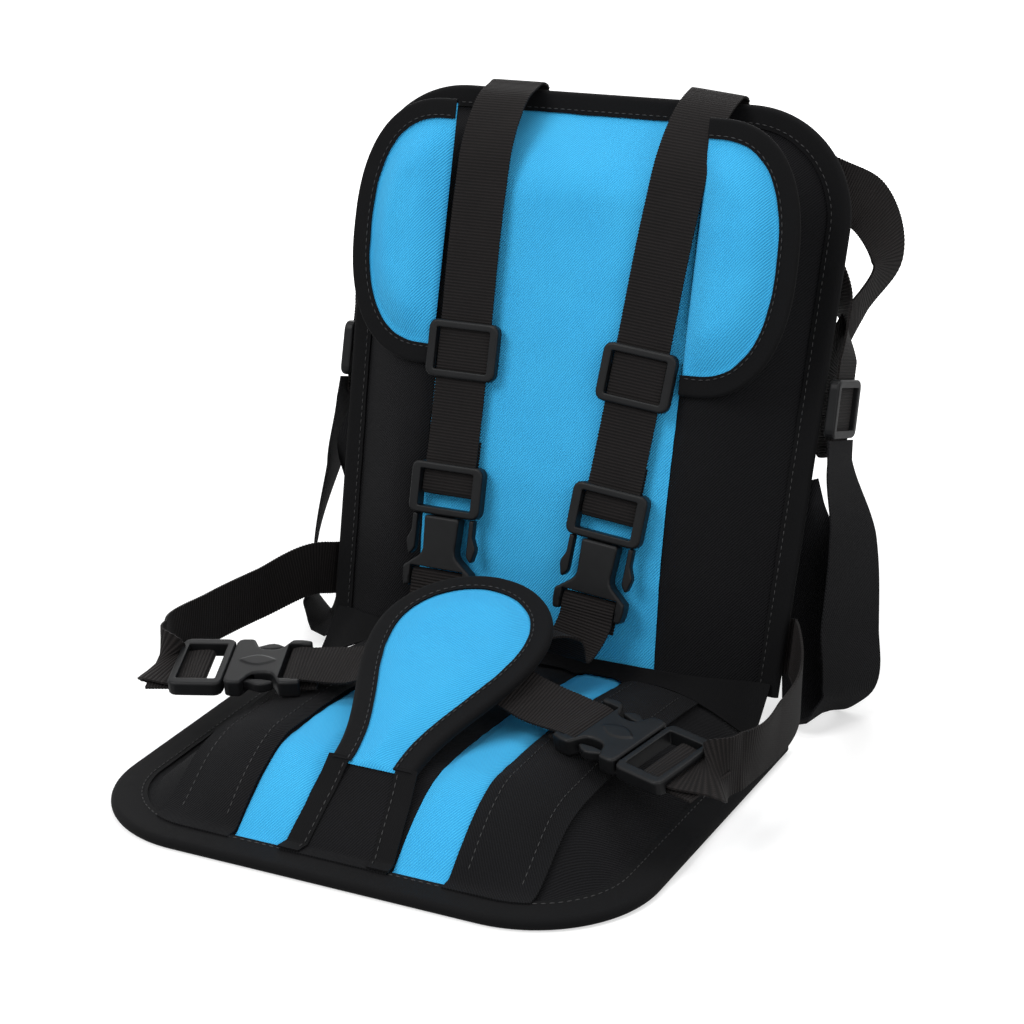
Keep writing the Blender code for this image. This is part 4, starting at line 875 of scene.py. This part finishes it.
def pad_floor(height):
    return lambda x, y: np.full_like(x, height)


face = padded_flap("crotch_face", 50, 90, pad_place, pad_floor(HEM_LOW + BASE_CLOTH + FIT), pad_high, PAD_FRAME)
dress(face, BLUE, "blue_cloth", "crotch_pad", "crotch_pad_face")


def pad_back_place(u, v):
    x, s = pad_place(u, v)
    return placed(PAD_FRAME, np.stack([x, s, np.full_like(x, HEM_LOW)], 1)), np.stack([x, s], 1)


pad_back = cloth("crotch_back", 24, 60, pad_back_place, BASE_CLOTH, 1.0)
dress(pad_back, BLACK, "black_cloth", "crotch_pad", "crotch_pad_back")
cut(pad_back, 2 * PAD_HEAD, PAD_HEAD_AT + PAD_HEAD, "stretched", "crotch_pad_face")
neck = np.linspace(0.0, PAD_HEAD_AT, 50)[:-1]
turn = np.linspace(0.0, np.pi / 2, 40)
right = np.concatenate([np.stack([pad_half(neck, 0.0), neck], 1),
                        np.stack([PAD_HEAD * np.cos(turn), PAD_HEAD_AT + PAD_HEAD * np.sin(turn)], 1)])
pad_route = np.concatenate([right[:-1] * np.array([-1.0, 1.0]), right[::-1]])
pad_hem = tape("crotch_hem", PAD_FRAME, pad_route, PAD_TAPE, HEM_THICK, 0.0, 53.0)
dress(pad_hem, TAPE, "binding_tape", "crotch_pad", "crotch_pad_binding")
sew("crotch_stitches", [hem_line(PAD_FRAME, pad_route, PAD_TAPE - STITCH_INSET, HEM_THICK + FIT)], "crotch_pad")


PATCH_LIFT = BAND_LIFT + BAND_CLOTH
PATCH_FLARE = 0.006
FOOT_RISE = HEM_LOW + BASE_CLOTH


def patch_half(v):
    return PAD_NECK_HALF + PATCH_FLARE * v


def foot_share(v):
    """One at the pad's foot, falling to nothing a little in front of it."""
    return 1 - ease(v / 0.35)


def patch_place(u, v):
    y = front_row(PAD_AT + FIT, np.zeros_like(u), v)
    x = patch_half(v) * (2 * u - 1)
    z = on_seat(x, y, PATCH_LIFT + FOOT_RISE * foot_share(v))
    return placed(SEAT_AT, np.stack([x, y, z], 1)), np.stack([x, y], 1)


patch = cloth("crotch_patch", 40, 40, patch_place, BAND_CLOTH)
dress(patch, BLACK, "black_cloth", "seat", "crotch_base")
cut(patch, 2 * patch_half(1.0), run_of(patch_place), "laid", "seat_cover_center")

TAIL_OUT = 0.0012
TAIL_LIFT = PATCH_LIFT + FIT + TAPE_CLOTH


def tail_place(side):
    """The pad's hem tape, carried on over one edge of the patch to the front hem."""
    def place(u, v):
        y = front_row(PAD_AT + FIT, np.zeros_like(u), v)
        x = side * (patch_half(v) + TAIL_OUT) + PAD_TAPE * (u - (1 if side > 0 else 0))
        z = on_seat(x, y, TAIL_LIFT + (HEM_THICK - FIT) * foot_share(v))
        return placed(SEAT_AT, np.stack([x, y, z], 1)), np.stack([x, y], 1)
    return place


tail_lines = []
for tag, world_side in SIDES:
    side = -world_side
    tail = cloth("crotch_tail_" + tag, 10, 40, tail_place(side), TAPE_CLOTH)
    dress(tail, TAPE, "binding_tape", "seat")
    cut(tail, PAD_TAPE, run_of(tail_place(side)), "laid", "crotch_base")
    v = np.linspace(0.05, 0.95, 30)
    y = front_row(PAD_AT + FIT, np.zeros_like(v), v)
    x = side * (patch_half(v) + TAIL_OUT - PAD_TAPE + STITCH_INSET)
    tail_lines.append(on_frame(SEAT_AT, x, y, on_seat(x, y, TAIL_LIFT + (HEM_THICK - FIT) * foot_share(v) + 0.0002)))
sew("crotch_tail_stitches", tail_lines, "seat")
print("flaps made")

# %% [markdown]
# ## Mouldings
# Sliders and buckles are injection moulded, so every edge has a small radius. The CAD piece has the right
# shape with plain chamfers: a copy is remeshed finely in its own frame and smoothed, which rounds each edge.

# %% Mouldings
STRAP_LEVEL = 0.0176
BUCKLE_LEVEL = 0.0189
BUCKLE_UP = 0.0785
STRAP_X = {"l": -0.055, "r": 0.0435}
STRAP_SLANT = {"l": 0.0, "r": math.radians(-5.4)}
VOXEL = 0.00045


def moulding(node, at, body):
    """Rounded copy of one CAD moulding, remeshed in the frame of its buckle or slider."""
    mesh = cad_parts[node].data.copy()
    mesh.transform(at.inverted())
    piece = bpy.data.objects.new(node + "_moulded", mesh)
    bpy.context.scene.collection.objects.link(piece)
    bpy.ops.object.select_all(action="DESELECT")
    bpy.context.view_layer.objects.active = piece
    piece.select_set(True)
    bpy.ops.object.mode_set(mode="EDIT")
    bpy.ops.mesh.select_all(action="SELECT")
    bpy.ops.mesh.remove_doubles(threshold=0.000001)
    bpy.ops.object.mode_set(mode="OBJECT")
    apply(piece, "REMESH", mode="VOXEL", voxel_size=VOXEL, adaptivity=0.0)
    apply(piece, "SMOOTH", factor=0.5, iterations=4)
    piece.data.transform(at)
    return dress(piece, PLASTIC, "black_plastic", body, node)


strap_at = {}
buckle_at = {}
for tag, side in SIDES:
    foot_at = BACK_AT @ Matrix.Translation((STRAP_X[tag], BUCKLE_UP, 0.0))
    strap_at[tag] = foot_at @ Matrix.Rotation(STRAP_SLANT[tag], 4, "Z")
    level_at = strap_at[tag] @ Matrix.Translation((0.0, 0.0, BUCKLE_LEVEL))
    buckle_at[tag] = level_at @ Matrix.Rotation(math.pi, 4, "Z")
WAIST_ALONG = Vector((-0.946, 0.324, 0.034))
WAIST_FACE = Vector((0.0, -0.19, 0.98))


def waist_matrix(side):
    flip = Matrix.Diagonal((side, 1.0, 1.0))
    along = (flip @ WAIST_ALONG).normalized()
    across = along.cross(flip @ WAIST_FACE).normalized()
    matrix = Matrix((across, along, across.cross(along))).transposed().to_4x4()
    matrix.translation = PAD_FRAME.translation + flip @ Vector((0.1213, 0.05835, 0.01258))
    return matrix


REAR_X = BACK_TOP_HALF - 0.0005
REAR_UP = 0.165
REAR_OUT = -BACK_DEPTH - 0.0185
for tag, side in SIDES:
    moulding("shoulder_slider_" + tag, strap_at[tag], "shoulder_slider_" + tag)
    rear_at = BACK_AT @ Matrix.Translation((side * REAR_X, REAR_UP, REAR_OUT))
    moulding("rear_slider_" + tag, rear_at @ Matrix.Rotation(side * math.pi / 2, 4, "Y"), "rear_slider_" + tag)
    for kind, at, base in (("shoulder", buckle_at[tag], "backrest"), ("waist", waist_matrix(side), "seat")):
        moulding(kind + "_socket_" + tag, at, base)
        for part in ("_insert_", "_prong_a_", "_prong_b_"):
            moulding(kind + part + tag, at, kind + part + tag)

# %% [markdown]
# ## Webbing
# Each strap is one length of webbing, made in this pose and attached to no body. Where a strap crosses two
# joints it is cut in two at a place that rests on the seat.

# %% Webbing
ACROSS = (1.0, 0.0, 0.0)
INSERT_LENGTH = 0.030
BAR_AT = -0.0155
BAR = 0.004
BAR_LOW = -0.0026
BAR_HIGH = -0.0008
SPLIT = 0.62


def wrap_insert():
    """Webbing round the insert's cross bar as (y, z), from its rear tail to where it leaves the frame."""
    over = BAR_HIGH + WEB_CLOTH / 2 + FIT + WRAP_CLEAR
    under = BAR_LOW - WEB_CLOTH / 2 - FIT - WRAP_CLEAR
    lip = BAR_AT + BAR / 2
    bend = (over - under) / 2
    turn = [(lip - 0.001 + 1.3 * bend * math.cos(a), (over + under) / 2 + bend * math.sin(a))
            for a in (-math.pi / 2, -math.pi / 4, 0.0, math.pi / 4, math.pi / 2)]
    return [(-0.044, under - WRAP_CLEAR), (-0.030, under), *turn, (BAR_AT - BAR / 2, over), (-INSERT_LENGTH, -0.0007)]


def wrap_socket():
    """Webbing round the socket's end bar as (y, z), from its rear tail to where it leaves the legs."""
    end = 0.0426
    slot = end - 0.0056 - 0.003 - 0.0018
    level = 0.0016 + WEB_CLOTH / 2 + FIT + WRAP_CLEAR
    bar = end - 0.0056 - 0.0015
    return [(end + 0.008, -level), (bar, -level), (slot + 0.0003, -level * 0.55), (slot + 0.0003, level * 0.55),
            (bar, level), (end + 0.002, level)]


def carried(matrix, wrap):
    side = matrix.to_3x3() @ Vector((1.0, 0.0, 0.0))
    return [(matrix @ Vector((0.0, y, z)), side) for y, z in wrap]


for tag, side in SIDES:
    slant = STRAP_SLANT[tag]
    top = (BACK_LENGTH - BUCKLE_UP) / math.cos(slant)
    rear_level = -BACK_DEPTH - WEB_CLOTH / 2 - 2 * FIT
    front = BACK.level + HEM_THICK
    crest = top + 0.0035 + WEB_WIDTH / 2 * math.tan(abs(slant))
    over = [(top - 0.055, rear_level), (top - 0.025, rear_level), (top - 0.003, rear_level - 0.0005),
            (crest - 0.0010, rear_level + 0.0006), (crest, rear_level + 0.0045), (crest, front + 0.001),
            (crest - 0.003, front + 0.007), (top - 0.006, front + 0.0175), (top - 0.021, front + 0.028),
            (top - 0.037, STRAP_LEVEL - 0.0022), (top - 0.060, STRAP_LEVEL), (0.100, STRAP_LEVEL),
            (0.050, STRAP_LEVEL)]
    path = [(0.0, y, z) for y, z in over] + [(0.0, -y, BUCKLE_LEVEL + z) for y, z in reversed(wrap_insert())]
    turn = strap_at[tag].to_3x3()
    stations = [(strap_at[tag] @ Vector(p), turn @ Vector(ACROSS)) for p in path]
    piece = strap("shoulder_strap_web_" + tag, stations)
    dress(piece, WEBBING, "webbing", None, "shoulder_strap_" + tag)
    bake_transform(piece)

    wrap = carried(buckle_at[tag], wrap_socket())
    leave, way = wrap[-1]
    level = -WEB_CLOTH / 2 - FIT - WRAP_CLEAR
    pad_way = PAD_FRAME.to_3x3() @ Vector((-0.95, side * 0.30, 0.0))
    link = wrap + [(leave + Vector((-side * 0.004, -0.022, -0.014)), way),
                   (PAD_FRAME @ Vector((side * 0.037, 0.142, level - 0.016)), way.lerp(pad_way, 0.5)),
                   (PAD_FRAME @ Vector((side * 0.030, 0.130, level - 0.004)), pad_way),
                   (PAD_FRAME @ Vector((side * 0.024, 0.112, level)), pad_way)]
    upper = strap("shoulder_link_upper_" + tag, link, 0.0, SPLIT)
    dress(upper, WEBBING, "webbing", None, "shoulder_link_" + tag)
    lower = strap("shoulder_link_lower_" + tag, link, SPLIT, 1.0)
    dress(lower, WEBBING, "webbing", None, "shoulder_link_" + tag)
    line, _ = smooth_line(link, RIB_STEP)
    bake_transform(upper)
    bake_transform(lower)


def mirror(stations, side):
    flip = Matrix.Diagonal((side, 1.0, 1.0))
    return [(flip @ Vector(s[0]), flip @ Vector(s[1]), *s[2:]) for s in stations]


right_at = waist_matrix(1)
insert_wrap = carried(right_at, wrap_insert())
leave, flat = insert_wrap[-1]
UP = Vector((0.0, 0.0, 1.0))
up_back = BACK_AT.to_3x3() @ Vector((0.0, 1.0, 0.0))
rear_level = -BACK_DEPTH - WEB_CLOTH / 2 - 2 * FIT
rim = float(BACK.edge(np.array([0.031]))[0])
waist_route = insert_wrap + [
    (leave + Vector((0.0095, 0.0010, 0.0010)), flat.lerp(UP, 0.12)),
    (leave + Vector((0.0200, 0.0200, 0.0010)), flat.lerp(UP, 0.5)),
    (Vector((SEAT_FRONT_HALF + 0.0225, FOLD_Y - 0.07075, 0.0460)), UP),
    (Vector((SEAT_FRONT_HALF + 0.0170, FOLD_Y - 0.02075, 0.0460)), UP),
    (BACK_AT @ Vector((rim + 0.0080, 0.0310, -0.0120)), up_back),
    (BACK_AT @ Vector((rim + 0.0042, 0.0310, rear_level + 0.0045)), up_back),
    (BACK_AT @ Vector((rim + 0.0028, 0.0310, rear_level + 0.0004)), up_back),
    (BACK_AT @ Vector((rim - 0.0030, 0.0310, rear_level - 0.0004)), up_back),
    (BACK_AT @ Vector((rim - 0.0220, 0.0310, rear_level)), up_back)]
level = -WEB_CLOTH / 2 - FIT - WRAP_CLEAR
along_pad = PAD_FRAME.to_3x3() @ Vector((0.0, 1.0, 0.0))
socket_wrap = carried(right_at, wrap_socket())
waist_link = socket_wrap + [
    (PAD_FRAME @ Vector((0.0530, 0.0790, level - 0.0060)), socket_wrap[-1][1].lerp(along_pad, 0.8)),
    (PAD_FRAME @ Vector((0.0380, 0.0810, level - 0.0010)), along_pad),
    (PAD_FRAME @ Vector((0.0120, 0.0820, level)), along_pad)]
for tag, side in SIDES:
    flip = Matrix.Diagonal((side, 1.0, 1.0))
    stations = mirror(waist_route, side)
    line, _ = smooth_line(stations, RIB_STEP)
    front_part = strap("waist_strap_front_" + tag, stations, 0.0, SPLIT)
    dress(front_part, WEBBING, "webbing", None, "waist_strap_" + tag)
    flip @ leave
    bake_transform(front_part)
    rear_part = strap("waist_strap_rear_" + tag, stations, SPLIT, 1.0)
    dress(rear_part, WEBBING, "webbing", None, "waist_strap_" + tag)
    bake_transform(rear_part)
    piece = strap("waist_link_web_" + tag, mirror(waist_link, side))
    dress(piece, WEBBING, "webbing", None, "waist_link_" + tag)
    flip @ socket_wrap[-1][0]
    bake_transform(piece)
print("harness webbing made")

# %% [markdown]
# ## Fixing straps behind the backrest
# A loose strap with a slider and a broad soft band hang behind each edge of the backrest. They tie the seat
# to the car seat, and here they hang as in the photograph.

# %% Fixing straps
half = 0.0165
DEPTH = Vector((0.0, 0.0, -1.0))
on_rear = -BACK_DEPTH - WEB_CLOTH / 2 - FIT
R = BACK_TOP_HALF
rear_strap = [
    ((R - 0.0425, 0.2680, on_rear), (-0.79, -0.61, 0.0)),
    ((R - 0.0305, 0.2520, on_rear - 0.0005), (-0.79, -0.61, 0.0)),
    ((R - 0.0180, 0.2365, -0.0350), (-0.65, -0.50, -0.40)),
    ((R - 0.0075, 0.2200, -0.0425), (-0.40, -0.30, -0.85)),
    ((REAR_X, REAR_UP + half + 0.010, REAR_OUT), DEPTH),
    ((REAR_X, REAR_UP + half + 0.004, REAR_OUT), DEPTH),
    ((REAR_X, REAR_UP - half, REAR_OUT), DEPTH),
    ((REAR_X, REAR_UP - half - 0.003, REAR_OUT), DEPTH),
    ((REAR_X - 0.0012, REAR_UP - half - 0.0095, REAR_OUT), DEPTH),
    ((REAR_X - 0.0050, REAR_UP - half - 0.0105, REAR_OUT), DEPTH),
    ((REAR_X - 0.0075, REAR_UP - half, REAR_OUT), DEPTH),
    ((REAR_X - 0.0090, REAR_UP + half + 0.014, REAR_OUT - 0.004), DEPTH),
    ((R - 0.0045, 0.2240, -0.0700), DEPTH),
    ((R + 0.0055, 0.2480, -0.0760), (0.25, 0.20, -0.95)),
    ((R - 0.0025, 0.2770, -0.0560), (0.50, 0.60, -0.60)),
    ((R - 0.0195, 0.2860, -0.0310), (0.50, 0.86, -0.10)),
    ((R - 0.0355, 0.2915, on_rear - 0.0005), (0.40, 0.91, 0.0)),
    ((R - 0.0445, 0.2945, on_rear), (0.40, 0.91, 0.0))]
BAND = 0.046
sewn = REAR_X + WEB_CLOTH / 2 + FIT + BAND_CLOTH / 2
band_rear = -BACK_DEPTH - BAND_CLOTH / 2 - FIT
rear_band = [
    ((sewn, REAR_UP - half - 0.001, REAR_OUT), DEPTH, BAND),
    ((sewn + 0.001, REAR_UP - half - 0.013, REAR_OUT), DEPTH, BAND),
    ((R + 0.0135, 0.0950, -0.0470), (0.30, 0.0, -0.95), BAND),
    ((R + 0.0195, 0.0450, -0.0430), (0.45, 0.10, -0.89), BAND),
    ((R + 0.0195, 0.0045, -0.0470), (0.45, 0.227, -0.89), BAND),
    ((R + 0.0075, -0.0065, -0.0470), (0.45, 0.227, -0.89), BAND),
    ((R - 0.0005, 0.0200, -0.0530), (0.60, 0.20, -0.77), BAND),
    ((R - 0.0095, 0.0700, -0.0460), (0.85, 0.20, -0.50), BAND),
    ((R - 0.0205, 0.1050, band_rear), (0.95, 0.30, 0.0), BAND),
    ((R - 0.0255, 0.1180, band_rear), (0.95, 0.30, 0.0), BAND)]
for tag, side in SIDES:
    turn = BACK_AT.to_3x3()
    stations = [(BACK_AT @ s[0], turn @ s[1]) for s in mirror(rear_strap, side)]
    piece = strap("rear_strap_web_" + tag, stations)
    dress(piece, WEBBING, "webbing", "backrest", "rear_strap_" + tag)
    stations = [(BACK_AT @ s[0], turn @ s[1], BAND) for s in mirror(rear_band, side)]
    piece = strap("rear_band_cloth_" + tag, stations, thick=BAND_CLOTH, ribs=False)
    dress(piece, BLACK, "black_cloth", "backrest", "rear_band_" + tag)
    cut(piece, BAND, float(smooth_line(stations, 0.002)[1][-1]), "hung", "rear_strap_" + tag)
print("fixing straps made")

# %% [markdown]
# ## Floor and light
# A studio table: a pale floor that keeps a soft shadow near the object and turns white further off through a painted
# glow that only the camera sees, stronger further from the object; a broad key light from the front left above, and
# weaker fills.
# The camera sees a white background, while the light on the object stays at a plain level.

# %% Floor and light
bpy.ops.object.select_all(action="DESELECT")
bpy.ops.mesh.primitive_plane_add(size=12.0, location=(0.0, 0.0, -0.0002))
floor = bpy.context.object
floor.name = "floor"
paper = bpy.data.materials.new("floor_paper")
paper.use_nodes = True
nodes, links = paper.node_tree.nodes, paper.node_tree.links
nodes.clear()
diffuse = nodes.new("ShaderNodeBsdfDiffuse")
diffuse.inputs["Color"].default_value = (0.62, 0.62, 0.62, 1.0)
# Painted glow on the floor, seen only by the camera: 0.52 within 0.3 m of the centre, rising to 1.0 at 1.2 m, so the
# floor is whiter further off.
glow = nodes.new("ShaderNodeEmission")
path = nodes.new("ShaderNodeLightPath")
spot = nodes.new("ShaderNodeTexCoord")
reach = nodes.new("ShaderNodeVectorMath")
reach.operation = "LENGTH"
links.new(spot.outputs["Object"], reach.inputs[0])
whiter = nodes.new("ShaderNodeMapRange")
for label, value in (("From Min", 0.3), ("From Max", 1.2), ("To Min", 0.52), ("To Max", 1.0)):
    whiter.inputs[label].default_value = value
links.new(reach.outputs["Value"], whiter.inputs["Value"])
camera_share = nodes.new("ShaderNodeMath")
camera_share.operation = "MULTIPLY"
links.new(whiter.outputs[0], camera_share.inputs[1])
links.new(path.outputs["Is Camera Ray"], camera_share.inputs[0])
links.new(camera_share.outputs[0], glow.inputs["Strength"])
both = nodes.new("ShaderNodeAddShader")
links.new(diffuse.outputs[0], both.inputs[0])
links.new(glow.outputs[0], both.inputs[1])
out = nodes.new("ShaderNodeOutputMaterial")
links.new(both.outputs[0], out.inputs["Surface"])
floor.data.materials.append(paper)

world = bpy.data.worlds.new("studio")
bpy.context.scene.world = world
world.use_nodes = True
nodes, links = world.node_tree.nodes, world.node_tree.links
sky = nodes["Background"]
sky.inputs["Color"].default_value = (1.0, 1.0, 1.0, 1.0)
path = nodes.new("ShaderNodeLightPath")
seen = nodes.new("ShaderNodeMath")
seen.operation = "ADD"
seen.use_clamp = True
links.new(path.outputs["Is Camera Ray"], seen.inputs[0])
links.new(path.outputs["Is Glossy Ray"], seen.inputs[1])
through = nodes.new("ShaderNodeMath")
through.operation = "ADD"
through.use_clamp = True
links.new(seen.outputs[0], through.inputs[0])
links.new(path.outputs["Is Transmission Ray"], through.inputs[1])
level_node = nodes.new("ShaderNodeMapRange")
level_node.inputs["To Min"].default_value = 0.42
level_node.inputs["To Max"].default_value = 1.0
links.new(through.outputs[0], level_node.inputs["Value"])
links.new(level_node.outputs[0], sky.inputs["Strength"])


def lamp(name, at, target, size, power):
    data = bpy.data.lights.new(name, "AREA")
    data.size = size
    data.energy = power
    made = bpy.data.objects.new(name, data)
    bpy.context.scene.collection.objects.link(made)
    made.location = at
    made.rotation_euler = (Vector(target) - Vector(at)).to_track_quat("-Z", "Y").to_euler()


lamp("key", (-0.9, -1.5, 1.9), (0.0, 0.05, 0.12), 1.2, 34.0)
lamp("fill", (1.6, -1.2, 1.2), (0.0, 0.05, 0.12), 1.4, 14.0)
lamp("top", (0.1, 0.5, 2.2), (0.0, 0.05, 0.1), 1.2, 16.0)
lamp("rear", (-0.7, 1.9, 1.1), (0.0, 0.15, 0.15), 1.4, 14.0)
bpy.context.scene.view_settings.view_transform = "Standard"
print("studio ready")
